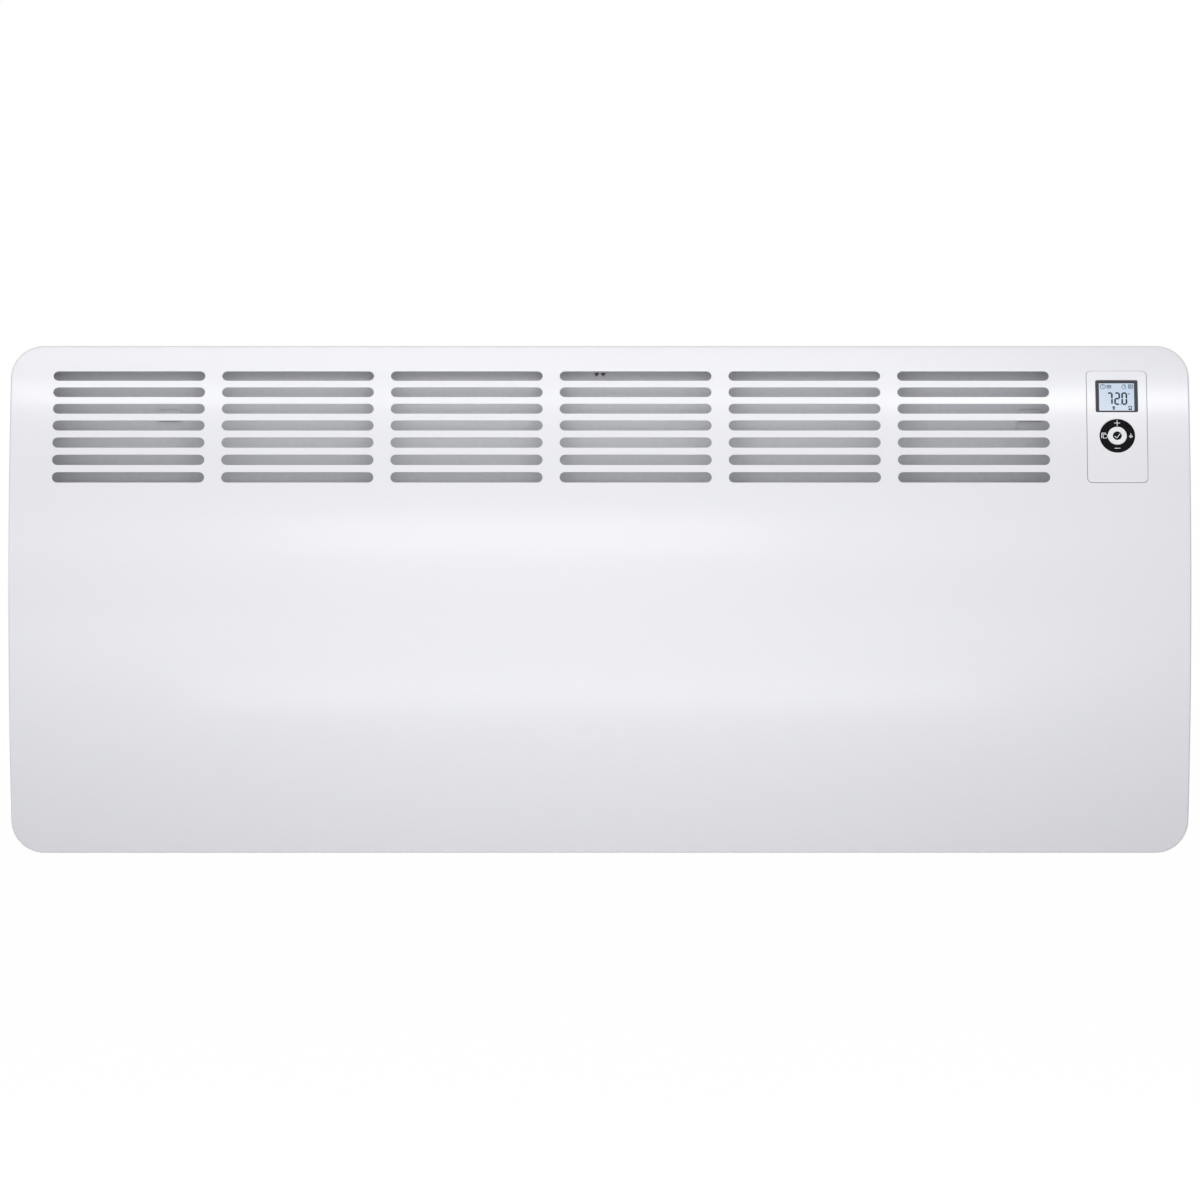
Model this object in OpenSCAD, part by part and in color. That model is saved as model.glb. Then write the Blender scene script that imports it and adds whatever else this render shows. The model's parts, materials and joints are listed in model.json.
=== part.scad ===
// Wall convector heater with a bowed front panel, hung on its wall bracket.
// Millimetres. X runs along the heater, +Y points into the wall and +Z is up.
// The origin is the centre of the four wall-screw holes, on the wall's face.
// Heights are counted from the panel's bottom edge, and hung() moves them into that frame.

/* [Front panel] */
// Width of the front panel
panel_w = 1090; // [1040:1:1300]
// Height of the front panel
panel_h = 470; // [464:1:500]
// Distance from the wall to the panel's foremost line
overall_d = 131; // [128:1:145]
// Radius of the panel's bow
bow_r = 450; // [440:1:520]
// Height of the foremost line above the panel's bottom edge
crown_h = 242; // [236:1:248]
// Thickness of the panel's sheet
sheet_t = 1; // [0.8:0.1:1.6]
// Radius of the panel's four corners
corner_r = 30; // [16:1:33]
// Depth of the folded lip round the panel's edge
lip_d = 12; // [6:1:16]

/* [Outlet grille] */
// Length of an outlet slot, end to end
slot_l = 140.4; // [100:0.2:144]
// Height of an outlet slot
slot_h = 10; // [6:0.5:12]
// Distance between slot columns
slot_pitch_x = 156.1; // [150:0.1:170]
// Distance between slot rows, measured along the sheet
slot_pitch_y = 16.72; // [15:0.01:17.5]
// Rows of slots
slot_rows = 7; // [5:1:7]
// Sheet between the panel's top edge and the middle of the top slot row
slot_margin = 32; // [28:0.1:35]
// Plain margin left of the slots and right of the control bezel
side_margin = 39.5; // [36:0.5:44]
// Least plain width between the last slot column and the control bezel
slot_bezel_space = 30; // [26:1:34]

/* [Rear housing] */
// How far the housing stands in from the panel's edge
housing_inset = 13; // [11:0.5:18]
// Thickness of the housing's sheet
housing_t = 0.8; // [0.7:0.1:1.4]
// Space between the wall and the housing
wall_space = 24; // [24:0.5:28]
// Length of an air intake slot
intake_l = 60; // [40:1:64]
// Width of an air intake slot
intake_w = 6; // [4:0.5:7]
// Distance between air intake slots along the housing
intake_pitch = 72; // [70:1:84]
// Length of a stiffening bead in the back wall
bead_l = 250; // [150:1:260]
// Height of a stiffening bead
bead_h = 14; // [10:1:20]
// Depth of a stiffening bead
bead_d = 1.4; // [0.8:0.1:2]

/* [Control unit] */
// Width of the control bezel
bezel_w = 55.5; // [54:0.5:60]
// Radius of the bezel's corners
bezel_corner_r = 4.2; // [2:0.2:6]
// Thickness of the bezel
bezel_t = 2.5; // [2:0.1:3]
// Joint width between the bezel and the panel
bezel_gap = 0.35; // [0.2:0.05:0.6]
// How far the bezel stands proud of the panel
bezel_proud = 0.3; // [0:0.1:0.8]
// Width of the display frame
display_w = 39; // [37:0.5:42]
// Height of the display frame
display_h = 32.4; // [31:0.2:34]
// Width of the display's lit area
lit_w = 32.5; // [28:0.5:34]
// Height of the display's lit area
lit_h = 28.6; // [24:0.2:29]
// Distance from the top slot row down to the display's middle, along the sheet
display_drop = 20.7; // [20:0.1:24]
// Distance from the top slot row down to the key ring's middle, along the sheet
key_drop = 60.3; // [59:0.1:62]
// Outer radius of the key ring
key_ring_r = 16.2; // [15:0.2:17]
// Radius of the middle key
ok_r = 8.8; // [7:0.05:9]
// Radius of the dark inlay in the middle key
inlay_r = 4.1; // [3:0.1:5]
// Gap between neighbouring keys
key_gap = 0.25; // [0.15:0.05:0.4]
// Travel of each key
key_travel = 0.6; // [0.3:0.1:0.8]

/* [Heating elements] */
// Width left over beside an element in its half of the air duct
element_gap = 109.6; // [100:0.1:180]
// Length of a fin arm from the element's axis
arm_l = 28; // [22:1:30]
// Thickness of a fin arm
arm_t = 2; // [1.2:0.1:3]
// Radius of the heating rod
element_rod_r = 4; // [3:0.1:5]
// Height of the foremost line above the elements' axis
element_drop = 167; // [162:1:170]

/* [Wall bracket] */
// Distance of a bracket leg from the panel's end
hook_inset = 145; // [140:1:160]
// Width of a bracket leg
leg_w = 40; // [34:1:50]
// Thickness of the bracket's sheet
bracket_t = 1.5; // [1.2:0.1:2]
// Width of a hook
hook_w = 20; // [14:1:24]
// Height that a hook's lip reaches up behind the housing's wall
hook_lip = 9; // [6:0.5:10]
// Height of the upper hooks above the panel's bottom edge
hook_top_h = 401; // [396:1:404]
// Height of the lower hooks above the panel's bottom edge
hook_low_h = 118; // [116:1:122]
// Radius of a wall-screw hole
screw_hole_r = 3.5; // [2.5:0.25:4]
// Height of the lower wall screws above the panel's bottom edge
screw_low_h = 160; // [156:1:170]
// Height of the upper wall screws above the lower ones
screw_pitch_h = 180; // [170:1:190]
// Travel that lifts the heater off its hooks
lift_travel = 12; // [11:0.5:12]
// How far the latch's nose reaches in front of the housing's back wall
latch_reach = 4; // [3:0.5:5]

/* [Power switch and cable entry] */
// Length of the rocker switch's opening
switch_l = 27; // [25:0.5:30]
// Width of the rocker switch's opening
switch_w = 20; // [18:0.5:22]
// Tilt of the rocker to each side of its middle
rocker_tilt = 10; // [6:1:12]
// Radius of the bore for the supply cable
cable_r = 4.75; // [3.5:0.25:5]

/* [Hidden] */
$fn = 48;

// Colours
white_paint = "#f2f2f4";
zinc_sheet = "#b4b7ba";
bright_steel = "#c4c6c8";
aluminium = "#c9ccce";
ceramic = "#efe9dc";
black_plastic = "#17171a";
dark_frame = "#3b3d40";
white_plastic = "#f5f5f7";
lcd_blue = "#cfdcec";
glass_tint = "#dfe9f2";
board_green = "#2f6b45";
grey_plastic = "#9a9da1";
lead_black = "#26262a";
lead_grey = "#77797d";
can_blue = "#2d3f63";
copper_tape = "#c98b54";

// Small clearances
seat = 0.1;           // between curved faces that lie on each other
housing_joint = 0.3;  // between the housing's edge and the panel's inner face
running = 0.1;        // round a shaft, pin or slide that moves in its seat
cut = 5;              // how far a cutter runs past the face that it cuts
bite = 1;             // how far one shape of a solid runs into the next

// The panel's bow is a cylinder along X
bow_y = bow_r - overall_d;
bow_in_r = bow_r - sheet_t;
bow_fn = 240;
half_w = panel_w / 2;
top_arc = bow_r * asin((panel_h - crown_h) / bow_r) * PI / 180;

// Rear housing
housing_x = half_w - housing_inset;
wall_in_x = housing_x - housing_t;
floor_h = housing_inset + housing_t;
roof_h = panel_h - floor_h;
back_y = -wall_space;
back_in_y = back_y - housing_t;
housing_front_r = bow_in_r - housing_joint;
housing_corner_r = 3;
end_flange = 4;               // width of the end plates' flange
end_seam_x = housing_x - end_flange;
intake_rows = 3;
intake_row_pitch = 8.5;
intake_back_gap = 6;          // from the back wall to the first intake row's middle
bead_rows = [215, 300];
buffer_inset = 62;            // from the housing's end to a wall buffer
buffer_h = 45;
buffer_r = 9;

// Panel brackets and their screws
clip_end = 75;                // from the panel's end to the first bracket
clip_mid = 300;               // from the panel's end to an inner bracket
clip_w = 22;
clip_t = 1.5;
clip_arm = 14;                // length of a bracket's arm along the housing
clip_screw_inset = 5.5;       // from the arm's end to its screw
clip_foot = 14;               // height of a lower bracket's foot on the panel
clip_foot_top = 6.5;          // the same for an upper bracket, which stays above the slots
screw_r = 2;
screw_head_r = 4;
screw_head_h = 2.2;
screw_reach = 5;

// Control unit and the compartment behind it
slot_top_arc = top_arc - slot_margin;
display_arc = slot_top_arc - display_drop;
key_arc = slot_top_arc - key_drop;
bezel_x = half_w - side_margin - bezel_w / 2;
slot_block_arc = (slot_rows - 1) * slot_pitch_y + slot_h;
bezel_arc = slot_top_arc + slot_h / 2 - slot_block_arc / 2;
bezel_l = 2 * bow_r * sin(slot_block_arc / 2 / bow_r * 180 / PI);
bezel_in_r = bow_r + bezel_proud - bezel_t;
bezel_reach = 16;             // how far the bezel's outline is cut, before and behind the sheet
box_rim = 5;                  // how far the control box's rim lies under the panel
box_rim_t = 2.5;
bulkhead_t = 1;
bulkhead_flange = 12;
bulkhead_space = 22;          // from the bulkhead to the bezel's edge
bulkhead_x = bezel_x - bezel_w / 2 - bulkhead_space;
bulkhead_in_x = bulkhead_x + bulkhead_t;
compartment_x = (bulkhead_in_x + wall_in_x) / 2;
clip_xs = [-half_w + clip_end, -half_w + clip_mid, half_w - clip_mid];
low_clip_xs = concat(clip_xs, [bulkhead_in_x + clip_w]);
top_clip_xs = concat(clip_xs, [bulkhead_x - clip_w]);

// Outlet slots: as many columns as fit between the left margin and the bezel
slot_left_x = -half_w + side_margin;
slot_field_w = bezel_x - bezel_w / 2 - slot_bezel_space - slot_left_x;
slot_columns = floor((slot_field_w + slot_pitch_x - slot_l) / slot_pitch_x);
slot_low_arc = slot_top_arc - (slot_rows - 1) * slot_pitch_y;
slot_low_h = crown_h + bow_r * sin(slot_low_arc / bow_r * 180 / PI);

// Wall bracket
hook_x = half_w - hook_inset;
screw_mid_h = screw_low_h + screw_pitch_h / 2;
leg_past_screw = 20;
leg_low_h = screw_low_h - leg_past_screw;
leg_top_h = screw_low_h + screw_pitch_h + leg_past_screw;
web_y = back_y + 2;           // front face of a leg's raised ends
web_below_hook = 8;
web_above_hook = 24;
web_low_h = hook_low_h - web_below_hook;
web_top_h = hook_top_h + web_above_hook;
window_h = 14;                // opening that a hook was bent out of
window_space = 1;             // between a hook and that opening
hook_inside = 4;              // how far a hook reaches in front of the back wall
hook_tip_y = back_in_y - hook_inside;
hook_open_h = lift_travel + bracket_t + 1.8;
hook_open_side = 2;           // clearance beside a hook
rail_h = 280;
rail_w = 30;
rail_flange = 8;
arm_w = 46;
arm_y = -2 * bracket_t;       // the arm's wall side lies on the rail's front
arm_low_h = rail_h - rail_w / 2 + 2 * bracket_t;
arm_flange = 8;
latch_drop = 37;              // from the panel's top edge to the underside of the latch's nose
latch_h = panel_h - latch_drop;
arm_shelf_drop = 23;
arm_shelf_h = latch_h - arm_shelf_drop;
rivet_r = 2.4;
rivet_head_r = 4.5;
rivet_head_h = 1.2;
rivet_step = 12;

// Latch
nose_w = 16;
prong_w = 5;
nose_h = lift_travel + 1;
nose_gap = 0.4;
nose_open = 1.5;              // clearance beside the nose in the back wall
guide_wall = 1.6;
guide_lip = 1;                // the guide and the arm's shelf reach this far in front of the slide
slide_h = 9;
slide_l = 9;
slide_y = back_y + 4;         // front face of the slide
slide_low_h = arm_shelf_h + guide_wall + running;
slide_mid_h = slide_low_h + slide_h / 2;
stem_w = 10;
stem_t = 3;
tab_drop = 8;                 // from the panel's top edge to the latch's tab
tab_top_h = panel_h - tab_drop;
tab_l = 10;
guide_back_y = slide_y + slide_l + latch_reach + nose_gap;
guide_top_h = slide_low_h + slide_h + running;
spring_r = 2.6;
spring_wire_r = 0.4;
spring_turns = 6;
spring_steps = 10;
spring_bore_r = 3.3;
spring_bore_l = 7;

// Elements, midway between the back wall and the heat shield
duct_left_x = -wall_in_x;
duct_w = bulkhead_x - duct_left_x;
element_xs = [duct_left_x + duct_w / 4, duct_left_x + duct_w * 3 / 4];
element_l = duct_w / 2 - element_gap;
element_h = crown_h - element_drop;
arm_reach = arm_l * sin(45);
shield_space = 12;            // from the panel's outer face to the heat shield
shield_r = bow_r - shield_space;
shield_t = 0.5;
shield_low_h = 30;
shield_top_h = slot_low_h - 18;
element_y = (back_in_y + bow_at(element_h - arm_reach, shield_r - shield_t)) / 2;
hub_wall = 3;
hub_r = element_rod_r + hub_wall;
fin_w = 8;
fin_t = 1.2;
fin_places = [0.55, 0.85];    // where the cross fins sit, as shares of a fin arm's length
rod_reach = 30;               // how far a rod runs past its profile
bush_wall = 3;
bush_r = element_rod_r + bush_wall;
bush_flange_r = bush_r + 2.5;
bush_flange_t = 3;
bush_l = 6;                   // from a hanger's near face to the bush's far end
hanger_t = 1.2;
hanger_space = 9;             // from a profile's end to its hanger
hanger_h = 24;
hanger_flange = 12;
limiter_up = 60;              // from the elements' axis to the limiters
limiter_h = element_h + limiter_up;
limiter_r = 8;
limiter_t = 6;
limiter_stand = 8;            // from the back wall to the limiter's disc
limiter_tab_h = 6;
limiter_tab_w = 6;
limiter_tab_t = 3;
limiter_tab_y = 1.5;          // from the disc's front to the tab
limiter_hole_r = 3;
limiter_strap_w = 18;
limiter_strap_h = 20;
limiter_foot = 10;
deflector_r = 5;              // bend between its web and the flange under the roof
deflector_t = 0.8;
deflector_flange = 10;
deflector_gap = 1.2;          // between its web and the latch's nose
deflector_lap = 2.5;          // from the nose's underside up to the web's lower edge
sight_w = 5.4;                // two small triangular holes that show whether the latch has caught
sight_h = 3.6;
sight_space = 0.8;
deflector_y = back_y - latch_reach - deflector_gap;
deflector_low_h = latch_h + deflector_lap;
sight_top_h = latch_h + nose_h;

// Display and keys, as distances out of the sheet's outer face in their own frames
frame_front = 0.1;
frame_back = -2.2;
frame_gap = 0.15;
lit_drop = 0.4;               // how much lower the lit area sits in its frame
glass_t = 1.4;
lcd_t = 3;
lcd_margin = 1;
frame_corner_r = 1.5;
lit_corner_r = 0.8;
board_front = -12;
board_t = 1.6;
board_back = board_front - board_t;
key_front = 0.5;
key_hole_gap = 0.25;
key_flange_r = key_ring_r + 1.2;
ring_in_r = ok_r + key_gap;
flange_space = 0.3;
ring_flange_z = bezel_proud - bezel_t - key_flange_r * key_flange_r / 2 / bow_r - flange_space;
flange_t = 1;
ok_flange_z = ring_flange_z - flange_t - key_travel - flange_space;
ok_flange_r = ok_r + 1.1;
stem_r = 1.7;
stem_ring_r = (key_ring_r + ok_r) / 2;
switch_front = -8;
stem_end = switch_front - 1;
tact_w = 6;
inlay_t = 0.8;
box_wall = 1.5;
box_w = bezel_w - 5;
box_l = bezel_l - 6;
box_back = -20;
box_shift = bow_r * sin((bezel_arc - key_arc) / bow_r * 180 / PI);
board_w = box_w - 2 * box_wall - 2;
board_low = -24;
board_high = 59;
post_inset = [3.5, 5, 2.5];   // from the board's sides, its lower edge and its upper edge
post_r = 3;
peg_r = 1.4;
peg_head = 1;
ribbon_up = -19;              // where the ribbon leaves the board, below the keys' middle
ribbon_window = 9;

// Electronics on the compartment's back wall
power_board_h = 140;
power_board_l = 150;
power_board_w = 80;
spacer_l = 15;
power_board_y = back_in_y - spacer_l;
parts_y = power_board_y - board_t;
spacer_r = 3.5;
spacer_inset = 5;
spacer_low = 18;              // height of the lower spacers above the board's bottom edge
way_pitch = 8;
way_count = 6;
way_x = compartment_x - 35;
connector_h = 12;
connector_d = 11;
header_x = way_x - 3;         // left end of the limiter leads' header
header_w = 12;
header_l = 18;
ribbon_header = [20, 9, 8];
side_header_h = 181;
ribbon_header_h = power_board_h + power_board_l - 12;
terminal_x = compartment_x - 23;
terminal_h = 75;
terminal_w = 30;
terminal_d = 18;
terminal_l = 22;
pole_pitch = 10;
pole_row = 6;                 // from the block's middle to a row of screws
pole_depth = 10;
pole_screw_r = 2.5;
pole_screw_l = 8;
pole_screw_sunk = 2;
pole_slot = 0.8;
earth_x = compartment_x - 38;
earth_h = 112;
earth_r = 2.5;
earth_l = 13;
earth_flange_r = 6;
earth_nut_r = 5;
earth_nut_h = 4.5;
gland_y = -39;                // behind the panel's lip, so that the cable runs straight down
gland_hex_r = 12;
gland_nut_r = 13;
gland_nut_h = 5;
gland_low_h = 3;
gland_washer_t = 1;
gland_top_h = 26;
gland_thread_r = 9;
clamp_h = 38;
clamp_l = 12;
clamp_w = 20;
clamp_wall = 3;
clamp_slack = 0.5;            // round the cable, beyond the gland's bore
clamp_screw_x = 7.5;
clamp_screw_r = 1.2;
switch_y = -56;
switch_h = 112;
switch_frame = 1.5;
switch_depth = 20;
blade_l = 8;
blade_space = 7;
blade_w = 6;
blade_t = 3.2;
pivot_x = housing_x - 1;
rocker_r = switch_l / 2 - 2.5;
rocker_w = switch_w - 6;
rocker_mid = 1.5;
rocker_back = 7;
rocker_gap = 0.3;             // between the rocker and its well
rocker_pin_r = 1.5;
rocker_pin_l = 2;
sensor_x = wall_in_x - 18;
sensor_y = -45;
sensor_r = 3;
sensor_low_h = 6;             // the sensor's tip below the floor
sensor_head = 3;
holder_r = 5;
holder_flange = 2;
lead_r = 1.6;
thin_lead_r = 1.2;
lead_gap = 0.5;               // between a lead's end and what it joins
lead_run = 8;                 // straight run before a lead's end
element_grommet = [back_in_y - 25, 60];
limiter_grommet = [back_in_y - 20, side_header_h];
limiter_lead_step = 6;        // height between the two limiter leads
way_y = parts_y - 6;
grommet_r = 9;
grommet_bore_r = 6.5;
grommet_flange = 2;
ribbon_w = 12;
ribbon_t = 1;

// A height above the panel's bottom edge, seen from the middle of the wall screws
module hung() translate([0, 0, -screw_mid_h]) children();

module block(x, y, z) translate([x[0], y[0], z[0]]) cube([x[1] - x[0], y[1] - y[0], z[1] - z[0]]);

module rod_x(x, y, z, r) translate([x[0], y, z]) rotate([0, 90, 0]) cylinder(r = r, h = x[1] - x[0]);

module rod_y(x, y, z, r) translate([x, y[1], z]) rotate([90, 0, 0]) cylinder(r = r, h = y[1] - y[0]);

module rod_z(x, y, z, r) translate([x, y, z[0]]) cylinder(r = r, h = z[1] - z[0]);

// Rectangle with round corners
module rounded(w, h, r) {
    square([w - 2 * r, h], center = true);
    square([w, h - 2 * r], center = true);
    for (sx = [-1, 1], sy = [-1, 1]) translate([sx * (w / 2 - r), sy * (h / 2 - r)]) circle(r);
}

// Slot with round ends, lying along X
module stadium(l, h) {
    square([l - h, h], center = true);
    for (s = [-1, 1]) translate([s * (l - h) / 2, 0]) circle(h / 2);
}

// Plate and disc in a local frame, between two heights
module plate(w, l, r, z) translate([0, 0, z[0]]) linear_extrude(z[1] - z[0]) rounded(w, l, r);

module disc(r, z) translate([0, 0, z[0]]) cylinder(r = r, h = z[1] - z[0]);

// An outline drawn as [y, z], extruded along X
module along_x(x) translate([x[0], 0, 0]) rotate([90, 0, 90]) linear_extrude(x[1] - x[0]) children();

// The solid cylinder whose front is the panel's bow
module bow(r, past = 0) translate([-half_w - cut - past, bow_y, crown_h]) rotate([0, 90, 0])
    cylinder(r = r, h = panel_w + 2 * cut + 2 * past, $fn = bow_fn);

// A skin of the bow between two radii
module bow_skin(r_out, r_in) difference() {
    bow(r_out);
    bow(r_in, cut);
}

// Children stand on the bow, with Z pointing out of it and Y up along the sheet
module at_bow(arc, x = 0) {
    turn = arc / bow_r * 180 / PI;
    translate([x, bow_y - bow_r * cos(turn), crown_h + bow_r * sin(turn)])
        rotate([90 - turn, 0, 0]) children();
}

// Y of the bow at a height, for a radius
function bow_at(h, r) = bow_y - sqrt(r * r - (h - crown_h) * (h - crown_h));

// [y, z] of a point in the frame that at_bow() gives
function on_bow(arc, up, out) = let (turn = arc / bow_r * 180 / PI, r = bow_r + out)
    [bow_y - r * cos(turn) + up * sin(turn), crown_h + r * sin(turn) + up * cos(turn)];

function unit(v) = v / norm(v);

// The heading at b between its neighbours, as long as the shorter step, so that no curve overshoots
function heading(a, b, c) = let (step = min(norm(b - a), norm(c - b)))
    unit(c - a) * (step > 0 ? step : norm(c - a));

// A curve through hand-set points, with n steps between two of them
function curve(a, b, c, d, t) = (2 * t * t * t - 3 * t * t + 1) * b + (3 * t * t - 2 * t * t * t) * c
    + (t * t * t - 2 * t * t + t) * heading(a, b, c) + (t * t * t - t * t) * heading(b, c, d);
function smooth(p, n) = concat(
    [for (i = [0 : len(p) - 2], s = [0 : n - 1])
        curve(p[max(i - 1, 0)], p[i], p[i + 1], p[min(i + 2, len(p) - 1)], s / n)],
    [p[len(p) - 1]]);

function square_to(d, v) = unit(v - (v * d) * d);

// A round tube along a path, with every ring square to it
module tube(path, r, sides = 8) {
    last = len(path) - 1;
    along = [for (i = [0 : last]) unit(path[min(i + 1, last)] - path[max(i - 1, 0)])];
    start = unit(cross(along[0], abs(along[0][2]) > 0.9 ? [1, 0, 0] : [0, 0, 1]));
    across = [for (i = 0, u = start; i <= last; i = i + 1, u = i > last ? u : square_to(along[i], u)) u];
    points = [for (i = [0 : last], k = [0 : sides - 1]) let (a = 360 * k / sides)
        path[i] + r * (cos(a) * across[i] + sin(a) * cross(along[i], across[i]))];
    walls = [for (i = [0 : last - 1], k = [0 : sides - 1], half = [0, 1])
        let (a = i * sides + k, b = i * sides + (k + 1) % sides)
        half == 0 ? [a, a + sides, b + sides] : [a, b + sides, b]];
    caps = [[for (k = [0 : sides - 1]) k], [for (k = [0 : sides - 1]) last * sides + sides - 1 - k]];
    polyhedron(points, concat(walls, caps));
}

// The outline of a flat band of even thickness along a path
function band(path, t) = let (last = len(path) - 1,
    along = [for (i = [0 : last]) unit(path[min(i + 1, last)] - path[max(i - 1, 0)])],
    side = [for (d = along) [-d[1], d[0]] * t / 2])
    concat([for (i = [0 : last]) path[i] + side[i]], [for (i = [0 : last]) path[last - i] - side[last - i]]);

// Wall bracket

module hook(h) {
    hook_span = [-hook_w / 2, hook_w / 2];
    block(hook_span, [hook_tip_y, web_y + bracket_t], [h, h + bracket_t]);
    block(hook_span, [hook_tip_y, hook_tip_y + bracket_t], [h, h + bracket_t + hook_lip]);
}

module bracket_leg(side) color(zinc_sheet) hung() translate([side * hook_x, 0, 0]) difference() {
    leg_span = [-leg_w / 2, leg_w / 2];
    union() {
        block(leg_span, [-bracket_t, 0], [leg_low_h, leg_top_h]);
        block(leg_span, [web_y, 0], [leg_low_h, leg_low_h + bracket_t]);
        block(leg_span, [web_y, 0], [leg_top_h - bracket_t, leg_top_h]);
        block(leg_span, [web_y, web_y + bracket_t], [web_low_h, leg_low_h + bracket_t]);
        block(leg_span, [web_y, web_y + bracket_t], [leg_top_h - bracket_t, web_top_h]);
        hook(hook_low_h);
        hook(hook_top_h);
    }
    for (h = [screw_low_h, screw_low_h + screw_pitch_h]) rod_y(0, [-bracket_t - cut, cut], h, screw_hole_r);
    for (sx = [-1, 1]) rod_y(sx * rivet_step, [-bracket_t - cut, cut], rail_h, rivet_r + running);
    for (h = [hook_low_h, hook_top_h])
        translate([0, 0, h + bracket_t]) block([-hook_w / 2 - window_space, hook_w / 2 + window_space],
            [web_y - bite, web_y + bracket_t + bite], [window_space, window_space + window_h]);
}

module bracket_leg_left() bracket_leg(-1);

module bracket_leg_right() bracket_leg(1);

module bracket_rail() color(zinc_sheet) hung() difference() {
    rail_span = [-hook_x - leg_w / 2, hook_x + leg_w / 2];
    rail_low_h = rail_h - rail_w / 2;
    union() {
        block(rail_span, [-2 * bracket_t, -bracket_t], [rail_low_h, rail_low_h + rail_w]);
        block(rail_span, [-2 * bracket_t - rail_flange, -bracket_t], [rail_low_h, rail_low_h + bracket_t]);
    }
    for (x = [-hook_x, 0, hook_x], sx = [-1, 1])
        rod_y(x + sx * rivet_step, [-2 * bracket_t - cut, cut], rail_h, rivet_r + running);
}

module latch_arm() color(zinc_sheet) hung() difference() {
    union() {
        block([-arm_w / 2, arm_w / 2], [arm_y - bracket_t, arm_y], [arm_low_h, arm_shelf_h]);
        block([-arm_w / 2, arm_w / 2], [slide_y - guide_lip, arm_y], [arm_shelf_h - bracket_t, arm_shelf_h]);
        for (x = [-arm_w / 2, arm_w / 2 - bracket_t])
            block([x, x + bracket_t], [arm_y - arm_flange, arm_y], [arm_low_h, arm_shelf_h]);
    }
    for (sx = [-1, 1]) rod_y(sx * rivet_step, [arm_y - bracket_t - cut, cut], rail_h, rivet_r + running);
}

module rivet(x, back, front) {
    rod_y(x, [front, back], rail_h, rivet_r);
    rod_y(x, [front - rivet_head_h, front], rail_h, rivet_head_r);
}

module bracket_rivets() color(bright_steel) hung() {
    for (side = [-1, 1], sx = [-1, 1]) rivet(side * hook_x + sx * rivet_step, 0, -2 * bracket_t);
    for (sx = [-1, 1]) rivet(sx * rivet_step, -bracket_t, arm_y - bracket_t);
}

// Latch

module latch_guide() color(black_plastic) hung() {
    half = nose_w / 2 + running;
    guide_front_y = slide_y - guide_lip;
    difference() {
        block([-half - guide_wall, half + guide_wall], [guide_front_y, guide_back_y + guide_wall],
            [arm_shelf_h, guide_top_h + guide_wall]);
        block([-half, half], [guide_front_y - cut, guide_back_y], [arm_shelf_h + guide_wall, guide_top_h]);
        block([-stem_w / 2 - guide_lip, stem_w / 2 + guide_lip], [guide_front_y - cut, guide_back_y],
            [guide_top_h - bite, guide_top_h + cut]);
    }
}

module latch_spring() color(bright_steel) hung() {
    low_y = slide_y + slide_l - spring_bore_l + spring_wire_r;
    high_y = guide_back_y - spring_wire_r;
    steps = spring_turns * spring_steps;
    tube([for (i = [0 : steps]) [
        spring_r * cos(360 * i / spring_steps),
        low_y + (high_y - low_y) * i / steps,
        slide_mid_h + spring_r * sin(360 * i / spring_steps)]], spring_wire_r, 6);
}

module latch_slide() color(grey_plastic) hung() {
    stem_back_y = slide_y + stem_t;
    difference() {
        block([-nose_w / 2, nose_w / 2], [slide_y, slide_y + slide_l], [slide_low_h, slide_low_h + slide_h]);
        rod_y(0, [slide_y + slide_l - spring_bore_l, slide_y + slide_l + cut], slide_mid_h, spring_bore_r);
    }
    block([-stem_w / 2, stem_w / 2], [slide_y, stem_back_y], [slide_low_h + slide_h - bite, tab_top_h]);
    block([-nose_w / 2, nose_w / 2], [slide_y, stem_back_y], [latch_h - 2 * bite, tab_top_h]);
    block([-nose_w / 2, nose_w / 2], [slide_y, slide_y + tab_l], [tab_top_h - stem_t, tab_top_h]);
    for (x = [-nose_w / 2, nose_w / 2 - prong_w]) along_x([x, x + prong_w]) polygon([
        [slide_y + bite, latch_h],
        [back_y, latch_h],
        [back_y - latch_reach, latch_h + lift_travel],
        [back_y - latch_reach, latch_h + nose_h],
        [slide_y + bite, latch_h + nose_h]]);
}

// Casing

module outline_prism(inset, r, from_y) translate([0, from_y, panel_h / 2]) rotate([90, 0, 0])
    linear_extrude(overall_d + cut) rounded(panel_w - 2 * inset, panel_h - 2 * inset, r);

module bezel_outline(grow, r) at_bow(bezel_arc, bezel_x)
    plate(bezel_w + 2 * grow, bezel_l + 2 * grow, r, [-bezel_reach, bezel_reach]);

module front_panel() color(white_paint) hung() difference() {
    intersection() {
        bow_skin(bow_r, bow_r - lip_d);
        outline_prism(0, corner_r, 0);
    }
    intersection() {
        bow(bow_in_r, cut);
        outline_prism(sheet_t, corner_r - sheet_t, cut);
    }
    for (row = [0 : slot_rows - 1], column = [0 : slot_columns - 1])
        at_bow(slot_top_arc - row * slot_pitch_y, slot_left_x + slot_l / 2 + column * slot_pitch_x)
            translate([0, 0, -cut]) linear_extrude(2 * cut) stadium(slot_l, slot_h);
    bezel_outline(bezel_gap, bezel_corner_r + bezel_gap);
}

module rear_housing() color(zinc_sheet) hung() intersection() {
    housing_shell();
    block([-end_seam_x, end_seam_x], [-overall_d, 0], [0, panel_h]);
}

// Each end plate has a narrow flange all round, which meets the housing's edge
module end_plates() color(zinc_sheet) hung() difference() {
    housing_shell();
    block([-end_seam_x - seat, end_seam_x + seat], [-overall_d, cut], [0, panel_h]);
}

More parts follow.
